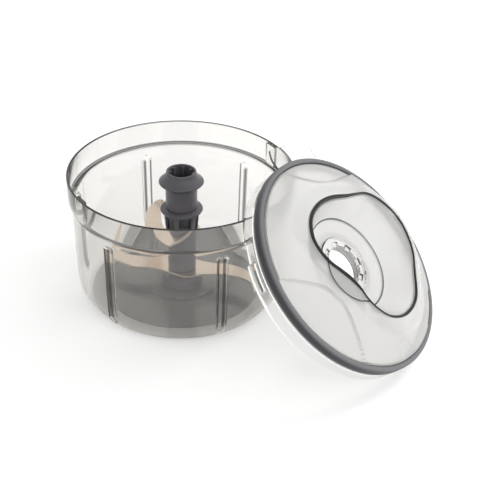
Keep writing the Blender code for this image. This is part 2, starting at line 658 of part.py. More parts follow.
def shell_column(angle):
    """The lid shell's section at one angle, from the hole over the top and back below."""
    rim = recess_radius(angle)
    foot = max(min(DISH_RADIUS, rim - RECESS_WALL_RUN), HOLE_SEAT_RADIUS + 2 * GAP)
    dish = DISH_DEPTH * (foot - HOLE_SEAT_RADIUS) / (DISH_RADIUS - HOLE_SEAT_RADIUS) - DISH_DEPTH
    edge = SHELL_THICKNESS / 3
    column = [(HOLE_SEAT_RADIUS, -DISH_DEPTH), (foot, dish),
              (mix(foot, rim, 0.5), mix(dish, RECESS_RIM_HEIGHT, 0.45)),
              (rim - edge / 2, RECESS_RIM_HEIGHT - edge), (rim + edge / 2, RECESS_RIM_HEIGHT)]
    for share in (0.08, 0.18, 0.3, 0.42, 0.58, 0.76, 0.9, 1.0):
        radius = mix(rim + edge / 2, SHELL_RADIUS, share)
        column.append((radius, dome_height(radius, rim)))
    lip_radius = SHELL_RADIUS - SHELL_LIP_WALL
    column += [(SHELL_RADIUS, -SHELL_LIP), (lip_radius, -SHELL_LIP)]
    inner_rim = rim + SHELL_THICKNESS
    for share in (1.0, 0.8, 0.6, 0.4, 0.2, 0.0):
        radius = mix(inner_rim, lip_radius, share)
        column.append((radius, dome_height(radius, rim) - SHELL_THICKNESS * 1.2))
    column += [(foot + SHELL_THICKNESS * 0.6, dish - SHELL_THICKNESS),
               (HOLE_SEAT_RADIUS, -DISH_DEPTH - SHELL_THICKNESS)]
    return column


def build_shell(finish, parent):
    columns = [shell_column(math.tau * index / LID_SEGMENTS) for index in range(LID_SEGMENTS)]
    rings = []
    for row in range(len(columns[0])):
        ring = []
        for index, column in enumerate(columns):
            angle = math.tau * index / LID_SEGMENTS
            radius, height = column[row]
            ring.append(Vector((radius * math.cos(angle), radius * math.sin(angle), height)))
        rings.append(ring)
    add_object("lid_shell", rings_to_mesh(rings, True), finish, parent)


def tab_share(angle):
    """One over the grip tab's middle, falling to zero at its sides."""
    across = abs(angle_between(angle, TAB_ANGLE)) * RING_RADIUS / (TAB_WIDTH / 2)
    return math.sqrt(1 - across ** 2) if across < 1 else 0.0


def build_ring(finish, parent):
    under = -SKIRT_TOP + GAP
    profile = [(RING_INNER_RADIUS, RING_TOP), (RING_RADIUS - RING_EDGE, RING_TOP),
               (RING_RADIUS - RING_EDGE * 0.3, RING_TOP - RING_EDGE * 0.3), (RING_RADIUS, RING_TOP - RING_EDGE),
               (RING_RADIUS, under + RING_EDGE / 3), (RING_RADIUS - RING_EDGE / 3, under),
               (RING_INNER_RADIUS - RING_FOOT, under), (RING_INNER_RADIUS - RING_FOOT, -SHELL_LIP - GAP),
               (RING_INNER_RADIUS, -SHELL_LIP - GAP)]
    add_object("seal_ring", turned(profile, RING_SEGMENTS), finish, parent)


def build_skirt(finish, parent):
    inner = SKIRT_RADIUS - SKIRT_WALL
    flange = inner - SKIRT_FLANGE
    flange_under = -SKIRT_TOP - SKIRT_FLANGE_THICKNESS
    tab_top = -TAB_Z + TAB_THICKNESS
    track_under = -BAYONET_BOTTOM - SKIRT_WALL
    profile = [(flange, -SKIRT_TOP), (SKIRT_RADIUS, -SKIRT_TOP), (SKIRT_RADIUS, tab_top + GAP / 3),
               (SKIRT_RADIUS, tab_top), (SKIRT_RADIUS, -TAB_Z), (SKIRT_RADIUS, -BAYONET_TOP),
               (SKIRT_RADIUS, -BAYONET_TOP - GAP), (SKIRT_RADIUS, -BAYONET_BOTTOM + GAP),
               (SKIRT_RADIUS, -BAYONET_BOTTOM), (SKIRT_RADIUS, -SKIRT_DEPTH), (inner, -SKIRT_DEPTH),
               (inner, track_under), (inner, track_under + GAP), (inner, flange_under),
               (flange, flange_under)]
    tab_rows = (3, 4)
    track_rows = (6, 7, 12, 13)
    gate_rows = (8, 9, 10, 11)

    def shape(index, angle, radius, height):
        if index in tab_rows:
            share = tab_share(angle)
            reach = RING_RADIUS - SKIRT_RADIUS + TAB_REACH
            return radius + reach * min(1, share / TAB_SQUARE_SHARE), height
        if index in track_rows + gate_rows:
            spacing = math.tau / LUG_COUNT
            offset = (angle - BAYONET_FIRST_ANGLE + spacing / 2) % spacing - spacing / 2 + BAYONET_WIDTH / 2
            width = BAYONET_WIDTH if index in track_rows else BAYONET_GATE_WIDTH
            if 0 < offset < width:
                return radius - BAYONET_DEPTH, height
        return radius, height

    add_object("lid_skirt", turned(profile, RING_SEGMENTS, shape), finish, parent)


def build_coupling(clear, grey, parent):
    top = -COUPLING_TOP
    bottom = top - COUPLING_DEPTH
    lip = COUPLING_RADIUS + COUPLING_LIP
    lip_top = -DISH_DEPTH - SHELL_THICKNESS - SEAL_SECTION - 2 * GAP
    lip_bottom = lip_top - SEAL_SECTION
    profile = [(COUPLING_BORE, top), (COUPLING_SLOT_RADIUS, top), (COUPLING_SLOT_RADIUS + GAP, top),
               (COUPLING_RADIUS - GAP, top), (COUPLING_RADIUS, top - GAP), (COUPLING_RADIUS, lip_top),
               (lip, lip_top), (lip, lip_bottom), (COUPLING_RADIUS, lip_bottom), (COUPLING_RADIUS, bottom),
               (COUPLING_BORE, bottom)]

    def shape(index, angle, radius, height):
        if index in (0, 1):
            spacing = math.tau / COUPLING_SLOTS
            if abs(angle_between(angle % spacing, spacing / 2)) < spacing * COUPLING_SLOT_SHARE / 2:
                return radius, height - COUPLING_SLOT_DEPTH
        return radius, height

    add_object("drive_coupling", turned(profile, SMALL_SEGMENTS, shape), clear, parent["coupling"])
    seal_top = -DISH_DEPTH - SHELL_THICKNESS - GAP
    inner = COUPLING_RADIUS + GAP
    outer = inner + SEAL_SECTION
    seal_bottom = seal_top - SEAL_SECTION
    seal = [(inner, seal_top), (outer, seal_top), (outer, seal_bottom), (inner, seal_bottom)]
    add_object("coupling_seal", turned(seal, SMALL_SEGMENTS), grey, parent["lid"])
    clip_inner = COUPLING_RADIUS + GAP
    clip_outer = lip + RETAINER_WALL + GAP
    clip_top = lip_bottom - GAP
    retainer = [(clip_inner, clip_top), (lip + GAP, clip_top), (lip + GAP, seal_top), (clip_outer, seal_top),
                (clip_outer, clip_top - RETAINER_THICKNESS), (clip_inner, clip_top - RETAINER_THICKNESS)]
    add_object("coupling_retainer", turned(retainer, SMALL_SEGMENTS), clear, parent["lid"])


def empty(name, place, parent=None):
    made = bpy.data.objects.new(name, None)
    bpy.context.collection.objects.link(made)
    made.parent = parent
    made.matrix_local = place
    return made


def main():
    clear_scene()
    clear = material("clear_smoke_plastic", (0.80, 0.79, 0.76), 0.05, alpha=0.35)
    lid_clear = material("clear_lid_plastic", (0.86, 0.86, 0.84), 0.05, alpha=0.35)
    grey = material("grey_plastic", (0.10, 0.098, 0.105), 0.35)
    grey_rubber = material("grey_rubber", (0.11, 0.11, 0.12), 0.6)
    steel = material("blade_steel", (0.62, 0.58, 0.54), 0.25, metallic=1.0)
    bush_plastic = material("white_bearing_plastic", (0.80, 0.80, 0.78), 0.4)

    build_bowl(clear)
    build_base(grey_rubber, steel)

    pivot = empty("pivot_axis", Matrix())
    build_bush(bush_plastic, pivot)
    build_thrust_pad(steel, pivot)

    unit = empty("blade_axis", Matrix(), pivot)
    build_core(grey, unit)
    build_foot(grey, unit)
    build_blades(steel, unit)
    build_shaft(grey, unit)
    build_collar(grey, unit)
    build_socket(grey, unit)
    build_screw(steel, unit)

    lid = empty("lid_frame", lid_place())
    coupling = empty("coupling_axis", Matrix(), lid)
    build_shell(lid_clear, lid)
    build_ring(grey_rubber, lid)
    build_skirt(lid_clear, lid)
    build_coupling(lid_clear, grey_rubber, {"lid": lid, "coupling": coupling})
    bpy.context.view_layer.update()


main()
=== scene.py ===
import json
import math

import bmesh
import bpy
from mathutils import Matrix, Vector
from mathutils.kdtree import KDTree


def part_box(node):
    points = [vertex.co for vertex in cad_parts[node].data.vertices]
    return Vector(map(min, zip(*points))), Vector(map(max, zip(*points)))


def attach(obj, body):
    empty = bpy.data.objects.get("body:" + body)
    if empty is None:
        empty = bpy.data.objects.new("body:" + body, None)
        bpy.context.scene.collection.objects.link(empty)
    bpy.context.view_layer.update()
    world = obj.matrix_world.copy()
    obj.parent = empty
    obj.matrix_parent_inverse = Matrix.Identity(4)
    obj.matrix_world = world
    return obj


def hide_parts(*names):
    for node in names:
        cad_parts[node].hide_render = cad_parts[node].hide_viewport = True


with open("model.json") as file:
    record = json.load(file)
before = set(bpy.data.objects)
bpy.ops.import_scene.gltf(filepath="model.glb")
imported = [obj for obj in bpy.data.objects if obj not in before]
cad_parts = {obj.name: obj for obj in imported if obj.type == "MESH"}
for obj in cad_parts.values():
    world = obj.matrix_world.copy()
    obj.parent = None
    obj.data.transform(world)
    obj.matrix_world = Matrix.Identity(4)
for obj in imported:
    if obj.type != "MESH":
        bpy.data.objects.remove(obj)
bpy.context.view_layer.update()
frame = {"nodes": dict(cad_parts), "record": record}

turn = math.tau
lidJoint = next(j for j in frame["record"]["behaviour"]["joints"] if j["name"] == "coupling_spin")
lidCentre = Vector(lidJoint["pos_m"])
lidTilt = math.atan2(lidJoint["axis"][0], lidJoint["axis"][2])
lidPlace = Matrix.Translation(lidCentre) @ Matrix.Rotation(lidTilt, 4, "Y")
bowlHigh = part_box("bowl_shell")[1]


# small tools for the modelling below

def deselect():
    bpy.ops.object.select_all(action="DESELECT")


def selectMesh():
    bpy.ops.mesh.select_all(action="SELECT")


def startDrawing(name):
    deselect()
    bpy.ops.mesh.primitive_plane_add(size=0.01)
    piece = bpy.context.active_object
    piece.name = name
    piece.data.name = name
    bpy.ops.object.mode_set(mode="EDIT")
    bpy.ops.mesh.select_mode(type="VERT")
    selectMesh()
    bpy.ops.mesh.merge(type="CENTER")  # one point, to draw the outline from
    return piece


def drawOutline(points):
    here = Vector(points[0])
    bpy.ops.transform.translate(value=here)
    for point in points[1:]:
        there = Vector(point)
        bpy.ops.mesh.extrude_region_move(TRANSFORM_OT_translate={"value": there - here})
        here = there


def arc(centre, radius, startDegrees, endDegrees, count):
    points = []
    for index in range(count + 1):
        angle = math.radians(startDegrees + (endDegrees - startDegrees) * index / count)
        points.append((centre[0] + radius * math.cos(angle), centre[1] + radius * math.sin(angle)))
    return points


def spinProfile(name, profile, steps, closed=True):
    piece = startDrawing(name)
    points = [(r, 0, z) for r, z in profile]
    drawOutline(points + points[:1] if closed else points)
    selectMesh()
    bpy.ops.mesh.spin(steps=steps, angle=turn, center=(0, 0, 0), axis=(0, 0, 1))
    selectMesh()
    bpy.ops.mesh.remove_doubles(threshold=0.00002)
    bpy.ops.mesh.normals_make_consistent(inside=False)
    bpy.ops.mesh.select_all(action="DESELECT")
    return piece


def pick(piece, wanted, kind="VERT"):  # selects what wanted(position, normal) is true for
    bpy.ops.mesh.select_mode(type=kind)
    bpy.ops.mesh.select_all(action="DESELECT")
    shape = bmesh.from_edit_mesh(piece.data)
    for part in (shape.verts if kind == "VERT" else shape.faces):
        centre = part.co if kind == "VERT" else part.calc_center_median()
        part.select_set(bool(wanted(centre, part.normal)))
    shape.select_flush_mode()
    bmesh.update_edit_mesh(piece.data)


def angleOf(point):
    return math.atan2(point.y, point.x)


def awayFrom(angle, middle):
    return abs((angle - middle + math.pi) % turn - math.pi)


def finishPiece(piece, look, smoothDegrees=40, bevel=0.0, bevelSegments=2):
    bpy.ops.object.mode_set(mode="OBJECT")
    if bevel:
        rounding = piece.modifiers.new("rounding", "BEVEL")
        rounding.width = bevel
        rounding.segments = bevelSegments
        rounding.limit_method = "ANGLE"
        rounding.angle_limit = math.radians(smoothDegrees)
        bpy.ops.object.modifier_apply(modifier=rounding.name)
    bpy.ops.object.shade_smooth_by_angle(angle=math.radians(smoothDegrees))
    piece.data.materials.clear()
    piece.data.materials.append(look)


def movePiece(piece, place):
    deselect()
    piece.select_set(True)
    bpy.context.view_layer.objects.active = piece
    piece.matrix_world = place
    bpy.ops.object.transform_apply(location=True, rotation=True, scale=True)


def smoothStep(value):
    value = min(max(value, 0.0), 1.0)
    return value * value * (3 - 2 * value)


def blendValue(start, end, share):
    return start + (end - start) * share


# looks

def newLook(name):
    look = bpy.data.materials.new(name)
    look.use_nodes = True
    shader = look.node_tree.nodes["Principled BSDF"]
    return look, look.node_tree.nodes, look.node_tree.links, shader


def addNoise(nodes, links, scale, detail, stretch=(1, 1, 1)):
    where = nodes.new("ShaderNodeTexCoord")
    mapping = nodes.new("ShaderNodeMapping")
    mapping.inputs["Scale"].default_value = stretch
    noise = nodes.new("ShaderNodeTexNoise")
    noise.inputs["Scale"].default_value = scale
    noise.inputs["Detail"].default_value = detail
    links.new(where.outputs["Object"], mapping.inputs["Vector"])
    links.new(mapping.outputs["Vector"], noise.inputs["Vector"])
    return noise


def addRange(nodes, links, source, reach, results, soft=False):
    ramp = nodes.new("ShaderNodeMapRange")
    if soft:
        ramp.interpolation_type = "SMOOTHSTEP"
    for name, value in zip(("From Min", "From Max", "To Min", "To Max"), (*reach, *results)):
        ramp.inputs[name].default_value = value
    links.new(source, ramp.inputs["Value"])
    return ramp.outputs["Result"]


def varyRoughness(nodes, links, shader, noise, roughness, share):
    span = (roughness * (1 - share), roughness * (1 + share))
    links.new(addRange(nodes, links, noise.outputs["Fac"], (0, 1), span), shader.inputs["Roughness"])


def addBump(nodes, links, shader, height, strength, distance):
    bump = nodes.new("ShaderNodeBump")
    bump.inputs["Strength"].default_value = strength
    bump.inputs["Distance"].default_value = distance
    links.new(height, bump.inputs["Height"])
    links.new(bump.outputs["Normal"], shader.inputs["Normal"])


def addTone(nodes, links, share, first, second):  # from the first colour to the second, each fixed or linked
    tone = nodes.new("ShaderNodeMix")
    tone.data_type = "RGBA"
    for slot, colour in (("A", first), ("B", second)):
        if isinstance(colour, (tuple, list)):
            tone.inputs[slot].default_value = (*colour, 1)
        else:
            links.new(colour, tone.inputs[slot])
    links.new(share, tone.inputs["Factor"])
    return tone.outputs["Result"]


def makeClearLook(name, plastic):
    look, nodes, links, shader = newLook(name)
    shader.inputs["Base Color"].default_value = (*plastic["tintAndShade"], 1)
    shader.inputs["IOR"].default_value = plastic["bend"]
    shader.inputs["Specular IOR Level"].default_value = plastic["shine"]
    shader.inputs["Transmission Weight"].default_value = plastic["clear"]
    noise = addNoise(nodes, links, scale=90, detail=3)
    varyRoughness(nodes, links, shader, noise, plastic["rough"], share=0.4)
    wave = addNoise(nodes, links, scale=18, detail=1)
    addBump(nodes, links, shader, wave.outputs["Fac"], strength=0.015, distance=0.002)
    depth = nodes.new("ShaderNodeVolumeAbsorption")
    depth.inputs["Color"].default_value = (*plastic["smoke"], 1)
    depth.inputs["Density"].default_value = plastic["density"]
    output = nodes["Material Output"]
    links.new(depth.outputs["Volume"], output.inputs["Volume"])
    path = nodes.new("ShaderNodeLightPath")
    through = nodes.new("ShaderNodeBsdfTransparent")
    through.inputs["Color"].default_value = (*plastic["shadow"], 1)
    mix = nodes.new("ShaderNodeMixShader")
    links.new(path.outputs["Is Shadow Ray"], mix.inputs["Fac"])
    links.new(shader.outputs["BSDF"], mix.inputs[1])
    links.new(through.outputs["BSDF"], mix.inputs[2])
    links.new(mix.outputs["Shader"], output.inputs["Surface"])
    return look


def makePlasticLook(name, colour, roughness, grain, shine=0.5):
    look, nodes, links, shader = newLook(name)
    shader.inputs["Specular IOR Level"].default_value = shine
    noise = addNoise(nodes, links, grain, detail=5)
    darker, lighter = [[part * level for part in colour] for level in (0.92, 1.08)]
    links.new(addTone(nodes, links, noise.outputs["Fac"], darker, lighter), shader.inputs["Base Color"])
    varyRoughness(nodes, links, shader, noise, roughness, share=0.15)
    addBump(nodes, links, shader, noise.outputs["Fac"], strength=0.08, distance=0.0004)
    return look


def makeSteelLook(name, colour, roughness, grain, stretch):
    look, nodes, links, shader = newLook(name)
    shader.inputs["Metallic"].default_value = 1.0
    noise = addNoise(nodes, links, grain, detail=4, stretch=stretch)
    darker, lighter = [[min(1, part * level) for part in colour] for level in (0.95, 1.05)]
    links.new(addTone(nodes, links, noise.outputs["Fac"], darker, lighter), shader.inputs["Base Color"])
    varyRoughness(nodes, links, shader, noise, roughness, share=0.3)
    return look


lidRadius = 0.0924
recessRim = [  # once round the recess: degrees, and the rim's share of the lid's radius
    (0, 0.615), (20, 0.655), (45, 0.665), (65, 0.740), (85, 0.785), (100, 0.765), (114, 0.715), (128, 0.615),
    (140, 0.560), (160, 0.535), (180, 0.528), (200, 0.524), (212, 0.507), (223, 0.480), (234, 0.430),
    (246, 0.370), (262, 0.298), (283, 0.268), (304, 0.300), (316, 0.375), (327, 0.450), (340, 0.535),
    (350, 0.580)]


def recessRadius(angle):
    count = len(recessRim)
    degrees = math.degrees(angle) % 360
    index = max(i for i in range(count) if recessRim[i][0] <= degrees)
    near = [index + shift for shift in (-1, 0, 1, 2)]
    places = [recessRim[i % count][0] + 360 * (i // count) for i in near]
    values = [recessRim[i % count][1] for i in near]
    span = places[2] - places[1]
    t = (degrees - places[1]) / span
    slopeIn = (values[2] - values[0]) / (places[2] - places[0]) * span
    slopeOut = (values[3] - values[1]) / (places[3] - places[1]) * span
    share = ((2 * t ** 3 - 3 * t ** 2 + 1) * values[1] + (t ** 3 - 2 * t ** 2 + t) * slopeIn
             + (3 * t ** 2 - 2 * t ** 3) * values[2] + (t ** 3 - t ** 2) * slopeOut)
    return share * lidRadius


# the seal ring is one dark rubber; its colours by height are painted light: a paler painted highlight along
# the low edge, the dark core, a lighter painted top, and a paler painted foot under the shell
ringRubberShading = {
    "core": (0.058, 0.056, 0.063),
    "edge": (0.23, 0.23, 0.235),
    "inner": (0.32, 0.315, 0.33),
    "top": (0.19, 0.187, 0.195),
    "rough": 0.45,
    "shine": 0.25,
    "footEdge": 0.0842,
    "footFade": 0.0002,
    "low": -0.0033,
    "high": 0.0045,
    "edgeShare": 0.06,  # shares of the height: the low edge's painted highlight, the dark core from and to, and the painted lighter top
    "coreShares": (0.30, 0.72),
    "topShare": 0.97,
}


def addLidPlace(nodes, links):
    where = nodes.new("ShaderNodeTexCoord")
    onLid = nodes.new("ShaderNodeMapping")  # turns the pattern onto the lid's own axis
    onLid.vector_type = "TEXTURE"
    onLid.inputs["Location"].default_value = lidCentre
    onLid.inputs["Rotation"].default_value = (0, lidTilt, 0)
    links.new(where.outputs["Object"], onLid.inputs["Vector"])
    return onLid.outputs["Vector"]


def addMath(nodes, links, operation, first, second=None, third=None):
    step = nodes.new("ShaderNodeMath")
    step.operation = operation
    for slot, value in enumerate((first, second, third)):
        if isinstance(value, (int, float)):
            step.inputs[slot].default_value = value
        elif value is not None:
            links.new(value, step.inputs[slot])
    return step.outputs[0]


def addLine(nodes, links, distance, width, softness):  # one on a line, nothing past its half width
    past = addMath(nodes, links, "SUBTRACT", addMath(nodes, links, "ABSOLUTE", distance), width)
    return addRange(nodes, links, past, (0, softness), (1, 0), soft=True)


def addPolar(nodes, links, source):
    parts = nodes.new("ShaderNodeSeparateXYZ")
    links.new(source, parts.inputs["Vector"])
    x, y = parts.outputs["X"], parts.outputs["Y"]
    radius = addMath(nodes, links, "SQRT", addMath(nodes, links, "ADD", addMath(nodes, links, "POWER", x, 2),
                                                   addMath(nodes, links, "POWER", y, 2)))
    return addMath(nodes, links, "ARCTAN2", y, x), radius, parts.outputs["Z"]


def makeRingLook():
    look, nodes, links, shader = newLook("greyRing")
    radius, height = addPolar(nodes, links, addLidPlace(nodes, links))[1:]
    upShare = addRange(nodes, links, height, (ringRubberShading["low"], ringRubberShading["high"]), (0, 1))
    ramp = nodes.new("ShaderNodeValToRGB")
    ramp.color_ramp.elements[0].position = ringRubberShading["edgeShare"]
    ramp.color_ramp.elements[0].color = (*ringRubberShading["edge"], 1)
    ramp.color_ramp.elements[1].position = ringRubberShading["topShare"]
    ramp.color_ramp.elements[1].color = (*ringRubberShading["top"], 1)
    for position in ringRubberShading["coreShares"]:
        ramp.color_ramp.elements.new(position).color = (*ringRubberShading["core"], 1)
    links.new(upShare, ramp.inputs["Fac"])
    foot = (ringRubberShading["footEdge"], ringRubberShading["footEdge"] + ringRubberShading["footFade"])
    onFoot = addRange(nodes, links, radius, foot, (0, 1))  # the foot under the shell is painted a paler grey, a painted haze of light from the milky shell over it
    tone = addTone(nodes, links, onFoot, ringRubberShading["inner"], ramp.outputs["Color"])
    links.new(tone, shader.inputs["Base Color"])
    shader.inputs["Specular IOR Level"].default_value = ringRubberShading["shine"]
    noise = addNoise(nodes, links, scale=1400, detail=4)
    varyRoughness(nodes, links, shader, noise, ringRubberShading["rough"], share=0.2)
    addBump(nodes, links, shader, noise.outputs["Fac"], strength=0.06, distance=0.0003)
    return look


# mixes the painted shade colour into the plastic's own tint, by the strongest of the painted lines at each
# point
def paintShadeLines(look, plastic, lines, tintAndShade):
    nodes, links = look.node_tree.nodes, look.node_tree.links
    strongest = lines[0]
    for line in lines[1:]:
        strongest = addMath(nodes, links, "MAXIMUM", strongest, line)
    shader = nodes["Principled BSDF"]
    links.new(addTone(nodes, links, strongest, plastic["tintAndShade"], tintAndShade), shader.inputs["Base Color"])


# painted shade: a dark line along the recess rim and a thinner one at the dish circle, mixed into the lid's
# colour where these edges of the clear plastic look dark
def paintFoldShade(look, plastic):
    nodes, links = look.node_tree.nodes, look.node_tree.links
    angle, radius = addPolar(nodes, links, addLidPlace(nodes, links))[:2]
    rimCurve = nodes.new("ShaderNodeFloatCurve")
    line = rimCurve.mapping.curves[0]  # holds ten times the radius, once round from behind
    line.points[0].location = (0, recessRadius(math.pi) * 10)
    line.points[-1].location = (1, recessRadius(math.pi) * 10)
    count = foldShade["curvePoints"]
    for step in range(1, count):
        line.points.new(step / count, recessRadius(turn * step / count - math.pi) * 10)
    rimCurve.mapping.update()
    links.new(addMath(nodes, links, "MULTIPLY_ADD", angle, 1 / turn, 0.5), rimCurve.inputs["Value"])
    rimHere = addMath(nodes, links, "MULTIPLY", rimCurve.outputs["Value"], 0.1)
    nearSide = addMath(nodes, links, "COSINE", addMath(nodes, links, "SUBTRACT", angle, foldShade["thickest"]))
    width = addMath(nodes, links, "MULTIPLY_ADD", nearSide, foldShade["swing"], foldShade["halfWidth"])
    shift = addMath(nodes, links, "MULTIPLY_ADD", nearSide, foldShade["shift"], rimHere)
    lines = []
    for where, wide, strength in ((shift, width, foldShade["strength"]),
                                  (foldShade["floorRadius"], foldShade["floorWidth"], foldShade["floorStrength"])):
        drawn = addLine(nodes, links, addMath(nodes, links, "SUBTRACT", radius, where), wide, foldShade["soft"])
        lines.append(addMath(nodes, links, "MULTIPLY", drawn, strength))
    paintShadeLines(look, plastic, lines, foldShade["tintAndShade"])


# painted shade: dark lines at set heights (the rim, the collar step, the foot) and along the flutes' sides,
# mixed into the bowl's colour where these edges of the clear plastic look dark
def paintEdgeShade(look, plastic):
    nodes, links = look.node_tree.nodes, look.node_tree.links
    where = nodes.new("ShaderNodeTexCoord")
    angle, radius, height = addPolar(nodes, links, where.outputs["Object"])
    lines = []
    for level, wide, strength in edgeShade["levels"]:
        drawn = addLine(nodes, links, addMath(nodes, links, "SUBTRACT", height, level), wide, edgeShade["soft"])
        lines.append(addMath(nodes, links, "MULTIPLY", drawn, strength))
    spacing = turn / edgeShade["flutes"]
    across = addMath(nodes, links, "PINGPONG", addMath(nodes, links, "SUBTRACT", angle, edgeShade["fluteAngle"]),
                     spacing / 2)
    side = addLine(nodes, links,
                   addMath(nodes, links, "MULTIPLY_ADD", across, edgeShade["wallRadius"], -edgeShade["fluteSide"]),
                   edgeShade["fluteWidth"], edgeShade["soft"])
    between = addLine(nodes, links, addMath(nodes, links, "SUBTRACT", height, edgeShade["fluteMiddle"]),
                      edgeShade["fluteReach"], edgeShade["fluteFade"])
    onWall = addMath(nodes, links, "GREATER_THAN", radius, edgeShade["floorRadius"])
    for factor in (between, onWall, edgeShade["fluteStrength"]):
        side = addMath(nodes, links, "MULTIPLY", side, factor)
    paintShadeLines(look, plastic, lines + [side], edgeShade["tintAndShade"])


# painted shade for the hub collar's windows: a near-black colour laid on where the surface lies deep in them,
# within the windows' height
windowShade = {"colour": (0.004, 0.004, 0.005), "depths": (0.0126, 0.0116), "strength": 0.8,
              "middle": 0.0645, "reach": 0.0085, "soft": 0.0003}


def paintWindowShade(look):  # painted shade inside the windows under the hub's lip
    nodes, links = look.node_tree.nodes, look.node_tree.links
    shader = nodes["Principled BSDF"]
    colour = shader.inputs["Base Color"].links[0].from_socket
    where = nodes.new("ShaderNodeTexCoord")
    radius, height = addPolar(nodes, links, where.outputs["Object"])[1:]
    deep = addRange(nodes, links, radius, windowShade["depths"], (0, windowShade["strength"]))
    inZone = addLine(nodes, links, addMath(nodes, links, "SUBTRACT", height, windowShade["middle"]),
                     windowShade["reach"], windowShade["soft"])
    share = addMath(nodes, links, "MULTIPLY", deep, inZone)
    links.new(addTone(nodes, links, share, colour, windowShade["colour"]), shader.inputs["Base Color"])


# the painted shade lines on the bowl: their colour, the heights of the level lines, and the lines along the
# flutes' sides
edgeShade = {
    "tintAndShade": (0.10, 0.10, 0.095),
    "soft": 0.0003,
    "levels": [  # height, half width, strength
        (0.1107, 0.0006, 0.9), (0.0907, 0.0005, 0.9), (0.0893, 0.0003, 0.7), (0.0008, 0.0007, 0.7)],
    "flutes": 6,
    "fluteAngle": math.radians(22),
    "fluteSide": 0.0025,
    "fluteWidth": 0.0007,
    "fluteMiddle": 0.0455,
    "fluteReach": 0.0310,
    "fluteFade": 0.003,
    "fluteStrength": 0.9,
    "wallRadius": 0.086,
    "floorRadius": 0.070,
}
# the painted shade lines on the lid: their colour, where they lie round the recess and the dish, and how wide
# and strong they are
foldShade = {
    "tintAndShade": (0.01, 0.01, 0.011),
    "curvePoints": 60,
    "thickest": math.radians(-110),
    "halfWidth": 0.0014,
    "swing": 0.0011,
    "shift": 0.0008,
    "soft": 0.0003,
    "strength": 1.0,
    "floorRadius": 0.0375,
    "floorWidth": 0.0004,
    "floorStrength": 0.9,
}
bowlPlastic = {"tintAndShade": (0.975, 0.97, 0.96), "smoke": (0.48, 0.44, 0.36), "density": 90, "bend": 1.49,
               "clear": 0.97, "rough": 0.03, "shine": 0.5, "shadow": (0.80, 0.80, 0.79)}
lidPlastic = {"tintAndShade": (0.84, 0.835, 0.825), "smoke": (0.42, 0.40, 0.36), "density": 90, "bend": 1.49,
              "clear": 0.60, "rough": 0.19, "shine": 0.30, "shadow": (0.80, 0.80, 0.79)}
trimPlastic = {"tintAndShade": (0.97, 0.97, 0.965), "smoke": (0.68, 0.67, 0.65), "density": 90, "bend": 1.49,
               "clear": 0.97, "rough": 0.03, "shine": 0.5, "shadow": (0.88, 0.88, 0.88)}
hubGrey = (0.104, 0.100, 0.111)
clearBowlLook = makeClearLook("clearBowl", bowlPlastic)
clearLidLook = makeClearLook("clearLid", lidPlastic)
paintFoldShade(clearLidLook, lidPlastic)
paintEdgeShade(clearBowlLook, bowlPlastic)
clearTrimLook = makeClearLook("clearTrim", trimPlastic)
hubLook = makePlasticLook("greyHub", hubGrey, roughness=0.32, grain=900, shine=0.35)
# the collar's look carries the painted shade inside its windows
shadedCollarLook = makePlasticLook("greyHubCollarShaded", hubGrey, roughness=0.32, grain=900)
paintWindowShade(shadedCollarLook)
rubberLook = makePlasticLook("greyRubber", (0.10, 0.098, 0.105), roughness=0.5, grain=1400)
padLook = makePlasticLook("greyPad", (0.20, 0.205, 0.205), roughness=0.6, grain=1200)
bladeLook = makeSteelLook("bladeSteel", (0.75, 0.64, 0.54), roughness=0.22, grain=60, stretch=(1, 30, 1))
pinLook = makeSteelLook("pinSteel", (0.60, 0.60, 0.61), roughness=0.25, grain=200, stretch=(1, 1, 30))
ringLook = makeRingLook()
bearingLook = makePlasticLook("bearingPlastic", (0.78, 0.78, 0.76), roughness=0.4, grain=700)
print("looks made")


# the clear bowl

bowl = {
    "rimRadius": bowlHigh.x,
    "height": bowlHigh.z,
    "wall": 0.0018,
    "rimRounding": 0.0008,
    "collarDepth": 0.0191,
    "shoulder": 0.0022,
    "ledgeDrop": 0.0012,
    "bodyTop": 0.0872,
    "bodyLow": 0.0860,
    "heelHeight": 0.0220,
    "footRadius": 0.0709,
    "footLift": 0.0006,
    "underside": 0.0025,
    "floorTop": 0.0043,
    "padRecess": 0.0640,
    "discRadius": 0.0280,
    "discTop": 0.0055,
    "bossRadius": 0.0072,
    "bossTop": 0.0140,
    "pinHole": 0.0038,
    "pinHoleFloor": 0.0036,
    "steps": 432,
    "rowsFrom": 0.075,
    "rowGap": 0.0008,
    "fluteAngle": math.radians(22),
    "flutes": 6,
    "fluteHalfWidth": 0.0031,
    "fluteDepth": 0.0026,
    "fluteRidge": 0.009,
    "fluteTop": 0.0790,
    "fluteBottom": 0.0120,
    "lugAngle": math.radians(62),
    "lugs": 2,
    "lugHalfWidth": 0.0055,
    "lugTop": 0.0058,
    "lugHeight": 0.0060,
    "lugDepth": 0.0022,
}


def bowlWall(height):
    if height < bowl["heelHeight"]:
        drop = (bowl["heelHeight"] - height) / (bowl["heelHeight"] - bowl["footLift"])
        return blendValue(bowl["footRadius"], bowl["bodyLow"], math.sqrt(max(0.0, 1 - drop * drop)))
    rise = (height - bowl["heelHeight"]) / (bowl["height"] - bowl["collarDepth"] - bowl["heelHeight"])
    return blendValue(bowl["bodyLow"], bowl["bodyTop"], rise)


def wallHeights(bottom):
    heel = bowl["heelHeight"]
    heights = [bottom + (heel - bottom) * (1 - math.cos(math.pi / 2 * step / 12)) for step in range(1, 13)]
    heights += [heel + (bowl["rowsFrom"] - heel) * step / 10 for step in range(1, 11)]
    heights += [bowl["rowsFrom"] + bowl["rowGap"] * step for step in range(1, 13)]
    return heights


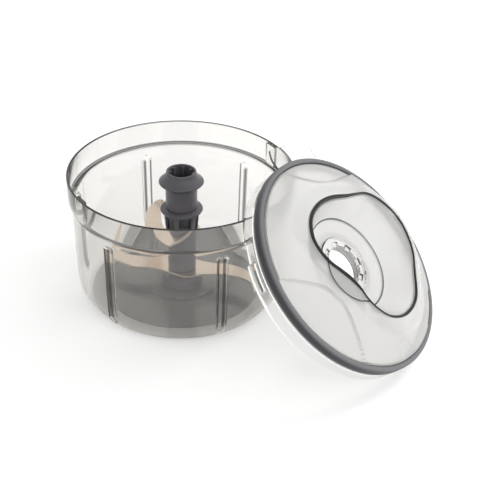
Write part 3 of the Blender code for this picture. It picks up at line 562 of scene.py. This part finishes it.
def bowlProfile():
    rim = bowl["rimRadius"]
    wall = bowl["wall"]
    top = bowl["height"]
    step = top - bowl["collarDepth"]
    soft = bowl["rimRounding"]
    inner = rim - wall
    low = step - bowl["shoulder"]
    points = [(0, bowl["underside"]), (bowl["padRecess"] - 0.0004, bowl["underside"])]
    points += arc((bowl["padRecess"] - 0.0004, bowl["underside"] - 0.0004), 0.0004, 90, 0, 3)
    points += [(bowl["padRecess"], bowl["footLift"] + 0.0003), (bowl["padRecess"] + 0.0003, bowl["footLift"])]
    points += [(bowl["footRadius"] - 0.0012, bowl["footLift"])]
    points += [(bowlWall(z), z) for z in wallHeights(bowl["footLift"])]
    points += [(bowl["bodyTop"], low), (bowl["bodyTop"] + 0.0004, low + 0.0003)]
    points += [(rim - 0.0007, step - 0.0011), (rim - 0.0002, step - 0.0004), (rim, step + 0.0004)]
    points += [(rim, top - soft)] + arc((rim - soft, top - soft), soft, 15, 90, 5)
    points += arc((inner + soft, top - soft), soft, 90, 180, 5)
    ledge = step - bowl["ledgeDrop"]
    points += [(inner, ledge + 0.0008), (inner - 0.0002, ledge + 0.0002), (inner - 0.0008, ledge)]
    bodyInner = bowl["bodyTop"] - wall
    points += [(bodyInner + 0.0005, ledge - 0.0002), (bodyInner, ledge - 0.0008)]
    floorTop = bowl["floorTop"]
    points += [(bowlWall(z) - wall, z) for z in reversed(wallHeights(floorTop - 0.0002))]
    points += [(bowl["footRadius"] - wall - 0.001, floorTop)]
    disc = bowl["discRadius"]
    points += [(disc + 0.0016, floorTop), (disc + 0.0008, floorTop + 0.0003)]
    points += [(disc, bowl["discTop"] - 0.0002), (disc - 0.0005, bowl["discTop"])]
    points += [(bowl["bossRadius"] + 0.0006, bowl["discTop"])]
    points += [(bowl["bossRadius"], bowl["bossTop"] - 0.0004), (bowl["bossRadius"] - 0.0004, bowl["bossTop"])]
    points += [(bowl["pinHole"], bowl["bossTop"]), (bowl["pinHole"], bowl["pinHoleFloor"])]
    points += [(0, bowl["pinHoleFloor"])]
    return points


def makeBowl():
    piece = spinProfile("bowlShell", bowlProfile(), bowl["steps"], closed=False)
    innerRim = bowl["rimRadius"] - bowl["wall"]
    for index in range(bowl["flutes"]):
        angle = bowl["fluteAngle"] + turn * index / bowl["flutes"]
        pick(piece, lambda p, n: bowl["fluteBottom"] < p.z < bowl["fluteTop"]
             and p.xy.length > bowl["footRadius"] and awayFrom(angleOf(p), angle) < bowl["fluteRidge"])
        inward = Vector((-math.cos(angle), -math.sin(angle), 0)) * bowl["fluteDepth"]
        bpy.ops.transform.translate(value=inward, use_proportional_edit=True,
                                    proportional_edit_falloff="SPHERE",
                                    proportional_size=bowl["fluteHalfWidth"])
    for index in range(bowl["lugs"]):
        angle = bowl["lugAngle"] + turn * index / bowl["lugs"]
        top = bowl["height"] - bowl["lugTop"]
        pick(piece, lambda p, n: top - bowl["lugHeight"] < p.z < top and p.xy.length < innerRim + 0.0002
             and awayFrom(angleOf(p), angle) * innerRim < bowl["lugHalfWidth"], "FACE")
        inward = Vector((-math.cos(angle), -math.sin(angle), 0)) * bowl["lugDepth"]
        bpy.ops.mesh.extrude_region_move(TRANSFORM_OT_translate={"value": inward})
    finishPiece(piece, clearBowlLook, smoothDegrees=50)
    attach(piece, "bowl")
    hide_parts("bowl_shell")


makeBowl()
print("bowl made")


# the grey disc under the floor

pad = {"radius": 0.0637, "thickness": 0.0022, "rounding": 0.0006}


def makePad():
    deselect()
    bpy.ops.mesh.primitive_cylinder_add(vertices=144, radius=pad["radius"], depth=pad["thickness"],
                                        location=(0, 0, pad["thickness"] / 2))
    piece = bpy.context.active_object
    piece.name = "nonSlipBase"
    bpy.ops.object.transform_apply(location=True, rotation=True, scale=True)
    bpy.ops.object.mode_set(mode="EDIT")
    finishPiece(piece, padLook, bevel=pad["rounding"], bevelSegments=3)
    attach(piece, "bowl")
    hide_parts("non_slip_base")


makePad()


# the hub, from its foot to the splined socket

hub = {
    "blade": 0.0012,
    "lowerBlade": 0.0200,
    "upperBlade": 0.0490,
    "upperTilt": math.radians(18),
    "upperAxis": math.radians(139),
    "gap": 0.0003,
    "core": 0.0106,
    "steps": 144,
    "footBottom": 0.0059,
    "footRadius": 0.0171,
    "footBore": 0.0086,
    "footSeat": 0.0142,
    "flareRadius": 0.0144,
    "flareHeight": 0.0044,
    "lowRadius": 0.0113,
    "highRadius": 0.0131,
    "collarBase": 0.0555,
    "windowBottom": 0.0560,
    "windowTop": 0.0727,
    "windows": 6,
    "windowTurn": math.radians(44),
    "windowShare": 0.36,
    "windowDepth": 0.0021,
    "collarRadius": 0.0173,
    "collarSection": [(0.0133, 0.0600), (0.0137, 0.0645), (0.0141, 0.0685), (0.0144, 0.0712)],
    "lipRadius": 0.0146,
    "collarZ": 0.0763,
    "collarTop": 0.0777,
    "neck": 0.0127,
    "flangeRadius": 0.0180,
    "flangeZ": 0.1006,
    "flangeLow": 0.0964,
    "socketTop": 0.1100,
    "socketOuter": 0.0121,
    "socketBore": 0.0103,
    "socketFloor": 0.0880,
    "socketRow": 0.1000,
    "socketWeb": 0.0850,
    "screwHole": 0.0023,
    "plugBottom": 0.0694,
    "plugRadius": 0.0093,
    "plugBore": 0.0073,
    "teeth": 8,
    "toothShare": 0.19,
    "toothDepth": 0.0017,
}


def bladePlane():
    axis = Vector((math.cos(hub["upperAxis"]), math.sin(hub["upperAxis"]), 0))
    return Matrix.Translation((0, 0, hub["upperBlade"])) @ Matrix.Rotation(-hub["upperTilt"], 4, axis)


def hubRadius(height):
    share = (height - hub["lowerBlade"]) / (hub["collarBase"] - hub["lowerBlade"])
    return blendValue(hub["lowRadius"], hub["highRadius"], share)


def finishHub(piece, node, look=hubLook):
    finishPiece(piece, look, smoothDegrees=35)
    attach(piece, "blade_unit")
    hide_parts(node)


def cutAtBlade(side):  # cuts along the upper blade and keeps what is below (-1) or above (1)
    place = bladePlane()
    shift = place.to_3x3() @ Vector((0, 0, side * (hub["blade"] / 2 + hub["gap"])))
    selectMesh()
    bpy.ops.mesh.bisect(plane_co=place.translation + shift, plane_no=place.to_3x3() @ Vector((0, 0, 1)),
                        use_fill=False, clear_outer=side < 0, clear_inner=side > 0)
    selectMesh()
    bpy.ops.mesh.fill_holes(sides=0)


def drawIn(depth, radius):  # extrudes the picked faces towards the axis
    bpy.ops.mesh.extrude_region_move(TRANSFORM_OT_translate={"value": (0, 0, 0)})
    inward = 1 - depth / radius
    bpy.ops.transform.resize(value=(inward, inward, 1), center_override=(0, 0, 0))


def makeHubFoot():
    low = hub["footBottom"]
    top = hub["lowerBlade"] - hub["blade"] / 2 - hub["gap"]
    base = hub["footRadius"]
    profile = arc((base - 0.0006, low + 0.0006), 0.0006, -90, 0, 3)
    profile += arc((base - 0.0006, low + 0.0016), 0.0006, 0, 90, 3)
    profile += [(hub["flareRadius"] + 0.0006, low + 0.0024), (hub["flareRadius"], low + 0.0028)]
    for step in range(1, 7):
        swing = step / 6 * math.pi / 2
        profile.append((blendValue(hub["flareRadius"], hub["lowRadius"], math.sin(swing)),
                        low + 0.0028 + hub["flareHeight"] * (1 - math.cos(swing))))
    profile += [(hub["lowRadius"], top - 0.0002), (hub["lowRadius"] - 0.0002, top), (hub["core"], top)]
    profile += [(hub["core"], hub["footSeat"]), (hub["footBore"], hub["footSeat"]), (hub["footBore"], low)]
    piece = spinProfile("hubFoot", profile, hub["steps"])
    finishHub(piece, "hub_foot")


def makeHubShaft():
    low = hub["lowerBlade"] + hub["blade"] / 2 + hub["gap"]
    top = hub["collarBase"]
    profile = [(hub["core"], low), (hubRadius(low) - 0.0002, low), (hubRadius(low), low + 0.0002)]
    heights = [low + (top - low) * step / 8 for step in range(1, 9)]
    profile += [(hubRadius(height), height) for height in heights]
    profile += [(hub["core"], top)]
    piece = spinProfile("hubShaft", profile, hub["steps"])
    cutAtBlade(-1)
    finishHub(piece, "hub_shaft")


def makeHubCollar():
    low = 2 * hub["upperBlade"] - hub["collarBase"]
    base = hub["collarBase"]
    edge = hub["collarRadius"]
    top = hub["windowTop"]
    profile = [(hub["core"], low), (hubRadius(low), low), (hub["highRadius"] - 0.0001, base - 0.001)]
    profile += [(hub["highRadius"], base), (hub["highRadius"], hub["windowBottom"])] + hub["collarSection"]
    profile += [(hub["lipRadius"], top), (hub["lipRadius"] + 0.0003, top + 0.0006)]
    profile += [(edge - 0.0006, hub["collarZ"] - 0.0018)]
    profile += arc((edge - 0.0008, hub["collarZ"] - 0.0006), 0.0008, -10, 60, 5)
    profile += [(edge - 0.0022, hub["collarTop"] - 0.0003), (hub["core"], hub["collarTop"] - 0.0003)]
    piece = spinProfile("hubCollar", profile, hub["steps"])
    spacing = turn / hub["windows"]
    half = spacing * hub["windowShare"]
    pick(piece, lambda p, n: hub["windowBottom"] < p.z < top and p.xy.length > hub["core"] + 0.001
         and awayFrom((angleOf(p) - hub["windowTurn"]) % spacing, spacing / 2) < half, "FACE")
    drawIn(hub["windowDepth"], hub["highRadius"])
    cutAtBlade(1)
    finishHub(piece, "hub_collar", shadedCollarLook)


def makeSocket():
    low = hub["collarTop"]
    edge = hub["flangeRadius"]
    middle = hub["flangeZ"]
    top = hub["socketTop"]
    outer = hub["socketOuter"]
    bore = hub["socketBore"]
    hole, web, plug = hub["screwHole"], hub["socketWeb"], hub["plugBottom"]
    profile = [(hub["plugBore"], plug), (hub["plugRadius"], plug), (hub["plugRadius"], low)]
    profile += [(hub["neck"], low)]
    profile += [(hub["neck"], hub["flangeLow"] - 0.0010), (hub["neck"] + 0.0003, hub["flangeLow"] - 0.0001)]
    profile += [(hub["neck"] + 0.0012, hub["flangeLow"] + 0.0007), (edge - 0.0016, middle - 0.0016)]
    profile += [(edge - 0.0006, middle - 0.0009), (edge - 0.0001, middle - 0.0003)]
    profile += arc((edge - 0.0012, middle), 0.0012, -10, 55, 6)
    profile += [(edge - 0.0030, top - 0.0064), (outer + 0.0016, top - 0.0048), (outer + 0.0006, top - 0.0034)]
    profile += [(outer + 0.0001, top - 0.0020)]
    profile += [(outer - 0.0001, top - 0.0006)] + arc((outer - 0.0006, top - 0.0005), 0.0005, 20, 90, 3)
    profile += [(bore + 0.0004, top), (bore, top - 0.0004), (bore, top - 0.0014)]
    profile += [(bore, hub["socketRow"]), (bore, hub["socketFloor"]), (hole, hub["socketFloor"]), (hole, web)]
    profile += [(hub["plugBore"], web)]
    piece = spinProfile("driveSocket", profile, hub["steps"])
    spacing = turn / hub["teeth"]
    half = spacing * hub["toothShare"]
    pick(piece, lambda p, n: hub["socketFloor"] + 0.0005 < p.z < top - 0.0012
         and abs(p.xy.length - bore) < 0.0002 and awayFrom(angleOf(p) % spacing, spacing / 2) < half, "FACE")
    drawIn(hub["toothDepth"], bore)
    finishHub(piece, "drive_socket")


makeHubFoot()
makeHubShaft()
makeHubCollar()
makeSocket()
print("hub made")


# the two blades

rim = bowl["rimRadius"]
upperOutline = [
    (-0.017, -0.217), (-0.120, -0.200), (-0.222, -0.167), (-0.345, -0.060), (-0.466, 0.074), (-0.532, 0.180),
    (-0.574, 0.292), (-0.576, 0.373), (-0.552, 0.443), (-0.520, 0.462), (-0.478, 0.449), (-0.470, 0.397),
    (-0.411, 0.289), (-0.352, 0.197), (-0.292, 0.120), (-0.225, 0.070), (-0.165, 0.105), (-0.080, 0.170),
    (0.033, 0.190), (0.125, 0.140), (0.168, 0.040), (0.160, -0.030), (0.133, -0.100), (0.080, -0.160),
    (0.022, -0.200)]
lowerWing = [
    (0.110, 0.165), (0.250, 0.195), (0.360, 0.245), (0.470, 0.253), (0.565, 0.236), (0.650, 0.195),
    (0.720, 0.130), (0.762, 0.045), (0.770, -0.030), (0.735, 0.020), (0.670, 0.072), (0.560, 0.092),
    (0.450, 0.070), (0.340, 0.022), (0.255, -0.030), (0.190, -0.090), (0.120, -0.150)]
bladeEdge = {"grind": 0.0009, "tip": 0.0006, "roomShare": 0.6, "stepsPerPoint": 6}


def roundOutline(points):
    count = len(points)
    smooth = []
    for index in range(count):
        before, start, end, after = [Vector(points[(index + shift) % count]) for shift in (-1, 0, 1, 2)]
        bend = 2 * before - 5 * start + 4 * end - after
        twist = 3 * start - before - 3 * end + after
        for step in range(bladeEdge["stepsPerPoint"]):
            t = step / bladeEdge["stepsPerPoint"]
            smooth.append(0.5 * (2 * start + (end - before) * t + bend * t ** 2 + twist * t ** 3))
    return [point * rim for point in smooth]


def groundOutline(points, width):  # the outline drawn in, and less where the blade is narrow
    count = len(points)
    area = sum(points[i - 1].x * points[i].y - points[i].x * points[i - 1].y for i in range(count))
    inner = []
    for index in range(count):
        along = (points[(index + 1) % count] - points[index - 1]).normalized()
        inward = Vector((-along.y, along.x)) * (1 if area > 0 else -1)
        room = 1.0
        for other in range(count):
            across = points[other] - points[index]
            ahead = across.dot(inward)
            if ahead > 0.00001:
                room = min(room, across.length_squared / (2 * ahead))
        inner.append(points[index] + inward * min(width, bladeEdge["roomShare"] * room))
    return inner


def makeBlade(name, node, outline, place):
    half = hub["blade"] / 2
    outer = roundOutline(outline)
    inner = groundOutline(outer, bladeEdge["grind"])
    piece = startDrawing(name)
    low = -half + bladeEdge["tip"]
    drawOutline([(p.x, p.y, low) for p in outer + outer[:1]])
    bpy.ops.mesh.select_all(action="DESELECT")
    bpy.ops.mesh.primitive_plane_add(size=0.01)
    bpy.ops.mesh.merge(type="CENTER")
    drawOutline([(p.x, p.y, half) for p in inner + inner[:1]])
    selectMesh()
    bpy.ops.mesh.remove_doubles(threshold=0.000005)
    bpy.ops.mesh.select_mode(type="EDGE")
    selectMesh()
    bpy.ops.mesh.bridge_edge_loops()
    pick(piece, lambda p, n: p.z > half - 0.00001)
    bpy.ops.mesh.edge_face_add()
    pick(piece, lambda p, n: p.z < low + 0.00001)
    bpy.ops.mesh.extrude_region_move(TRANSFORM_OT_translate={"value": (0, 0, -bladeEdge["tip"])})
    bpy.ops.mesh.edge_face_add()
    selectMesh()
    bpy.ops.mesh.normals_make_consistent(inside=False)
    finishPiece(piece, bladeLook, smoothDegrees=8)
    movePiece(piece, place)
    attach(piece, "blade_unit")
    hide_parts(node)


makeBlade("upperBlade", "upper_blade", upperOutline, bladePlane())
makeBlade("lowerBlade", "lower_blade", lowerWing + [(-x, -y) for x, y in lowerWing],
          Matrix.Translation((0, 0, hub["lowerBlade"])))
print("blades made")


# the lid, made flat on its own axis and then laid in its place

lid = {
    "ringRadius": 0.0884,
    "ringInner": 0.0844,
    "ringTop": 0.0045,
    "gap": 0.0003,
    "skirtRadius": 0.0879,
    "skirtDepth": 0.0166,
    "skirtWall": 0.0012,
    "skirtTop": 0.0036,
    "flange": 0.0060,
    "flangeThickness": 0.0016,
    "tabAngle": math.radians(157),
    "tabWidth": 0.0500,
    "tabReach": 0.0160,
    "tabShare": 0.97,
    "tabSquare": 0.6,
    "tabTop": 0.0040,
    "tabThickness": 0.0018,
    "trackAngle": math.radians(-124),
    "trackWidth": math.radians(26),
    "gateWidth": math.radians(11),
    "trackTop": 0.0062,
    "trackBottom": 0.0128,
    "trackDepth": 0.0028,
    "shellRadius": 0.0840,
    "shell": 0.0018,
    "shellLip": 0.0014,
    "ringFoot": 0.0030,
    "edgeHeight": 0.0055,
    "domeRise": 0.0036,
    "rimHeight": 0.0138,
    "slope": 0.0150,
    "dishRadius": 0.0375,
    "dishDepth": 0.0040,
    "holeSeat": 0.0236,
    "wallRun": 0.0070,
    "columns": 360,
    "dishRows": 6,
    "wallRows": 12,
    "wallPower": 1.15,
    "domeRows": 80,
    "domeSpread": 1.1,
    "domePower": 6,
}
lidDents = [  # flats and a notch pressed in round the dome: middle and half width in degrees, inner radius
    {"angle": 151.5, "half": 29, "inner": 0.0655, "power": 2, "depth": 0.0022, "run": 0.0007},
    {"angle": -80.5, "half": 32, "inner": 0.0460, "power": 3, "depth": 0.0018, "run": 0.0016},
    {"angle": 28.5, "half": 13, "inner": 0.0780, "power": 2, "depth": 0.0009, "run": 0.0007},
    {"angle": -13, "half": 5.5, "inner": 0.0700, "power": 6, "depth": 0.0006, "run": 0.0008},
]


def dentDepth(angle, radius):
    depth = 0.0
    for dent in lidDents:
        share = awayFrom(angle, math.radians(dent["angle"])) / math.radians(dent["half"])
        if share < 1:
            start = blendValue(dent["inner"], lid["shellRadius"], share ** dent["power"])
            depth += dent["depth"] * smoothStep((radius - start) / dent["run"])
    return depth


def domeHeight(radius, rimHere):
    plain = lid["edgeHeight"] + lid["domeRise"] * (1 - (radius / lid["shellRadius"]) ** lid["domePower"])
    return blendValue(lid["rimHeight"], plain, smoothStep((radius - rimHere) / lid["slope"]))


def lidSection(angle):  # the lid's outer surface at one angle, from the hole to the edge
    rimHere = recessRadius(angle)
    seat = lid["holeSeat"]
    foot = max(min(lid["dishRadius"], rimHere - lid["wallRun"]), seat + 0.0006)
    dish = lid["dishDepth"] * (foot - seat) / (lid["dishRadius"] - seat) - lid["dishDepth"]
    shares = [step / lid["dishRows"] for step in range(lid["dishRows"])]
    points = [(blendValue(seat, foot, share), blendValue(-lid["dishDepth"], dish, share)) for share in shares]
    top = lid["rimHeight"]
    wallTop = (rimHere - 0.0012, top - 0.0014)
    for step in range(lid["wallRows"]):
        share = step / lid["wallRows"]
        height = blendValue(dish, wallTop[1], share ** lid["wallPower"])
        points.append((blendValue(foot, wallTop[0], share), height))
    start = rimHere + 0.0003
    points += [wallTop, (rimHere - 0.0008, top - 0.0005), (rimHere - 0.0003, top - 0.0001), (start, top)]
    for step in range(1, lid["domeRows"] + 1):
        share = (step / lid["domeRows"]) ** lid["domeSpread"]
        radius = blendValue(start, lid["shellRadius"] - 0.0010, share)
        points.append((radius, domeHeight(radius, rimHere) - dentDepth(angle, radius)))
    edge = lid["shellRadius"]
    height = points[-1][1]
    points += [(edge - 0.0004, height - 0.0004), (edge, height - 0.0012), (edge, -lid["shellLip"])]
    return points


def makeLidShell():
    first = lidSection(0)
    piece = spinProfile("lidShell", first, lid["columns"], closed=False)
    shape = bmesh.from_edit_mesh(piece.data)
    rows = KDTree(len(first))
    for index, (radius, height) in enumerate(first):
        rows.insert((radius, height, 0), index)
    rows.balance()
    sections = {}
    for vert in shape.verts:  # each column slides to its own section, because the recess isn't round
        angle = angleOf(vert.co)
        column = round(math.degrees(angle), 2)
        if column not in sections:
            sections[column] = lidSection(angle)
        row = rows.find((vert.co.xy.length, vert.co.z, 0))[1]
        radius, height = sections[column][row]
        vert.co = (radius * math.cos(angle), radius * math.sin(angle), height)
    bmesh.update_edit_mesh(piece.data)
    selectMesh()
    bpy.ops.mesh.normals_make_consistent(inside=False)
    bpy.ops.object.mode_set(mode="OBJECT")
    upward = sum(face.normal.z * face.area for face in piece.data.polygons)
    if upward < 0:
        piece.data.flip_normals()
    wall = piece.modifiers.new("wall", "SOLIDIFY")
    wall.thickness = lid["shell"]
    wall.offset = -1
    wall.use_even_offset = True
    bpy.ops.object.modifier_apply(modifier=wall.name)
    finishPiece(piece, clearLidLook, smoothDegrees=50)
    movePiece(piece, lidPlace)
    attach(piece, "lid")
    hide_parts("lid_shell")


def makeSealRing():
    outer = lid["ringRadius"]
    top = lid["ringTop"]
    under = -lid["skirtTop"] + lid["gap"]
    lip = -lid["shellLip"] - lid["gap"]
    foot = lid["ringInner"] - lid["ringFoot"]
    profile = arc((outer - 0.0018, top - 0.0018), 0.0018, 100, 0, 8)
    profile += arc((outer - 0.0006, under + 0.0006), 0.0006, 0, -90, 4)
    profile += [(foot, under), (foot, lip), (lid["ringInner"], lip)]
    profile += [(lid["ringInner"], top - 0.0006), (lid["ringInner"] + 0.0006, top)]
    piece = spinProfile("sealRing", profile, steps=216)
    finishPiece(piece, ringLook, smoothDegrees=50)
    movePiece(piece, lidPlace)
    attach(piece, "lid")
    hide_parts("seal_ring")


def makeSkirt():
    outer = lid["skirtRadius"]
    inner = outer - lid["skirtWall"]
    top = -lid["skirtTop"]
    low = -lid["skirtDepth"]
    under = top - lid["flangeThickness"]
    tabLow = -lid["tabTop"] - lid["tabThickness"]
    profile = [(inner - lid["flange"], top), (outer - 0.0003, top), (outer, top - 0.0003)]
    profile += [(outer, -lid["tabTop"]), (outer, tabLow), (outer, -lid["trackTop"])]
    profile += [(outer, blendValue(-lid["trackTop"], -lid["trackBottom"], s)) for s in (0.15, 0.5, 0.85, 1)]
    profile += [(outer, low + 0.0005), (outer - 0.0004, low), (inner + 0.0004, low), (inner, low + 0.0005)]
    profile += [(inner, -lid["trackBottom"] - lid["skirtWall"]), (inner, -lid["trackBottom"] - 0.0002)]
    profile += [(inner, blendValue(-lid["trackTop"], -lid["trackBottom"], s)) for s in (0.75, 0.4)]
    profile += [(inner, under - 0.0006), (inner - 0.0006, under), (inner - lid["flange"], under)]
    piece = spinProfile("lidSkirt", profile, steps=288)
    width = lid["tabWidth"] / 2
    tabAngle = lid["tabAngle"]
    pick(piece, lambda p, n: tabLow < p.z < -lid["tabTop"] and p.xy.length > outer - 0.0002
         and awayFrom(angleOf(p), tabAngle) * outer < width * lid["tabShare"], "FACE")
    bpy.ops.mesh.extrude_region_move(TRANSFORM_OT_translate={"value": (0, 0, 0)})
    shape = bmesh.from_edit_mesh(piece.data)
    for vert in shape.verts:
        if vert.select:
            across = awayFrom(angleOf(vert.co), tabAngle) * outer / width
            reach = lid["tabReach"] * min(1, math.sqrt(max(0, 1 - across * across)) / lid["tabSquare"])
            vert.co.xy *= 1 + reach / vert.co.xy.length
    bmesh.update_edit_mesh(piece.data)
    low, high = -lid["trackBottom"], -lid["trackTop"]
    halfTrack, halfGate = lid["trackWidth"] / 2, lid["gateWidth"] / 2
    for index in range(bowl["lugs"]):
        middle = lid["trackAngle"] + turn * index / bowl["lugs"]
        gate = middle - halfTrack + halfGate
        pick(piece, lambda p, n: inner - 0.0002 < p.xy.length < outer + 0.0002
             and ((low + 0.0002 < p.z < high - 0.0002 and awayFrom(angleOf(p), middle) < halfTrack)
                  or (p.z < low + 0.0003 and awayFrom(angleOf(p), gate) < halfGate)))
        shape = bmesh.from_edit_mesh(piece.data)
        for vert in shape.verts:
            if vert.select:
                vert.co.xy *= 1 - lid["trackDepth"] / vert.co.xy.length
        bmesh.update_edit_mesh(piece.data)
    bpy.ops.mesh.select_all(action="DESELECT")
    finishPiece(piece, clearTrimLook)
    movePiece(piece, lidPlace)
    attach(piece, "lid")
    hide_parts("lid_skirt")


coupling = {"radius": 0.0232, "bore": 0.0157, "top": 0.0030, "depth": 0.0070, "lip": 0.0030,
            "slots": 8, "slotDepth": 0.0022, "slotRadius": 0.0192, "slotShare": 0.22, "steps": 192}


def makeCoupling():
    outer = coupling["radius"]
    bore = coupling["bore"]
    top = -coupling["top"]
    low = top - coupling["depth"]
    lipTop = -lid["dishDepth"] - lid["shell"] - 0.0016
    profile = [(bore, top - 0.0003), (bore + 0.0003, top), (coupling["slotRadius"], top)]
    lip = outer + coupling["lip"]
    profile += [(outer - 0.0005, top), (outer, top - 0.0005), (outer, lipTop), (lip, lipTop)]
    profile += [(lip, lipTop - 0.0010), (outer, lipTop - 0.0010), (outer, low), (bore, low)]
    profile += [(bore, top - coupling["slotDepth"])]
    piece = spinProfile("driveCoupling", profile, coupling["steps"])
    spacing = turn / coupling["slots"]
    pick(piece, lambda p, n: p.z > top - 0.0002 and p.xy.length < coupling["slotRadius"]
         and awayFrom(angleOf(p) % spacing, spacing / 2) < spacing * coupling["slotShare"], "FACE")
    sink = (0, 0, -coupling["slotDepth"] + 0.0003)
    bpy.ops.mesh.extrude_region_move(TRANSFORM_OT_translate={"value": sink})
    finishPiece(piece, clearTrimLook)
    movePiece(piece, lidPlace)
    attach(piece, "coupling")
    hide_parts("drive_coupling")


makeLidShell()
makeSealRing()
makeSkirt()
makeCoupling()
print("lid made")


# the pieces that keep their form, with their own finishes

keptLooks = {
    "centre_pin": pinLook, "thrust_pad": pinLook, "hub_screw": pinLook, "screw_washer": pinLook,
    "pivot_bush": bearingLook, "hub_core": hubLook, "coupling_seal": rubberLook,
    "coupling_retainer": clearTrimLook,
}
for node, look in keptLooks.items():
    for slot in frame["nodes"][node].material_slots:
        slot.material = look
print("kept pieces finished")


# floor, light and camera

stage = {"size": 4.0, "floorGrey": 0.80, "floorGlow": 0.38, "floorRough": 0.9, "floorShine": 0.1,
         "soft": 0.68, "horizon": 0.62, "ceiling": 0.90, "mirrorDim": 0.30, "throughDim": 0.10}


def seenDirectly(nodes, links):  # one for rays from the camera, mirrored, or through clear plastic
    path = nodes.new("ShaderNodeLightPath")
    seen = path.outputs["Is Camera Ray"]
    for ray in ("Is Glossy Ray", "Is Transmission Ray"):
        seen = addMath(nodes, links, "MAXIMUM", seen, path.outputs[ray])
    return seen


def makeStage():
    deselect()
    bpy.ops.mesh.primitive_plane_add(size=stage["size"], location=(0, 0, 0))
    floor = bpy.context.active_object
    floor.name = "floor"
    look, nodes, links, shader = newLook("whiteFloor")
    shader.inputs["Base Color"].default_value = (stage["floorGrey"],) * 3 + (1,)
    shader.inputs["Roughness"].default_value = stage["floorRough"]
    shader.inputs["Specular IOR Level"].default_value = stage["floorShine"]
    shader.inputs["Emission Color"].default_value = (1, 1, 1, 1)
    glow = addMath(nodes, links, "MULTIPLY", seenDirectly(nodes, links), stage["floorGlow"])
    links.new(glow, shader.inputs["Emission Strength"])
    floor.data.materials.append(look)
    world = bpy.data.worlds.new("studio")
    bpy.context.scene.world = world
    world.use_nodes = True
    nodes = world.node_tree.nodes
    links = world.node_tree.links
    where = nodes.new("ShaderNodeTexCoord")
    upward = nodes.new("ShaderNodeSeparateXYZ")
    links.new(where.outputs["Generated"], upward.inputs["Vector"])
    reach = (stage["horizon"], stage["ceiling"])
    mirrored, through = [addRange(nodes, links, upward.outputs["Z"], reach, (1, dim), soft=True)
                         for dim in (stage["mirrorDim"], stage["throughDim"])]
    path = nodes.new("ShaderNodeLightPath")
    level = stage["soft"]
    rays = (("Is Glossy Ray", mirrored), ("Is Transmission Ray", through), ("Is Camera Ray", 1.0))
    for ray, source in rays:
        choice = nodes.new("ShaderNodeMix")
        links.new(path.outputs[ray], choice.inputs["Factor"])
        for name, value in (("A", level), ("B", source)):
            if isinstance(value, float):
                choice.inputs[name].default_value = value
            else:
                links.new(value, choice.inputs[name])
        level = choice.outputs["Result"]
    background = nodes["Background"]
    background.inputs["Color"].default_value = (1, 1, 1, 1)
    links.new(level, background.inputs["Strength"])


def makeLamp(name, location, size, watts):  # shines straight down
    deselect()
    bpy.ops.object.light_add(type="AREA", location=location)
    lamp = bpy.context.active_object
    lamp.name = name
    lamp.data.size = size
    lamp.data.energy = watts
    lamp.visible_transmission = False  # its glow isn't seen through the milky lid
    return lamp


camera = {
    "lens": 72,
    "sensor": 36,
    "place": (0.365656, -0.594374, 0.490392),
    "right": (0.88201013, 0.47028624, 0.02981575),
    "up": (-0.27885489, 0.46988711, 0.83752376),
    "back": (0.37986586, -0.74701871, 0.54558681),
}


def makeCamera():
    deselect()
    bpy.ops.object.camera_add()
    eye = bpy.context.active_object
    eye.data.lens = camera["lens"]
    eye.data.sensor_width = camera["sensor"]
    eye.data.sensor_fit = "HORIZONTAL"
    turned = Matrix((camera["right"], camera["up"], camera["back"])).transposed().to_4x4()
    eye.matrix_world = Matrix.Translation(camera["place"]) @ turned
    bpy.context.scene.camera = eye


makeStage()
keyLight = makeLamp("keyLight", (0.55, 0.65, 0.75), size=0.5, watts=7)
keyLight.visible_glossy = False
makeLamp("sideLight", (1.0, -0.35, 0.55), size=0.4, watts=4)
makeCamera()
bpy.context.scene.view_settings.view_transform = "Standard"
print("stage made")
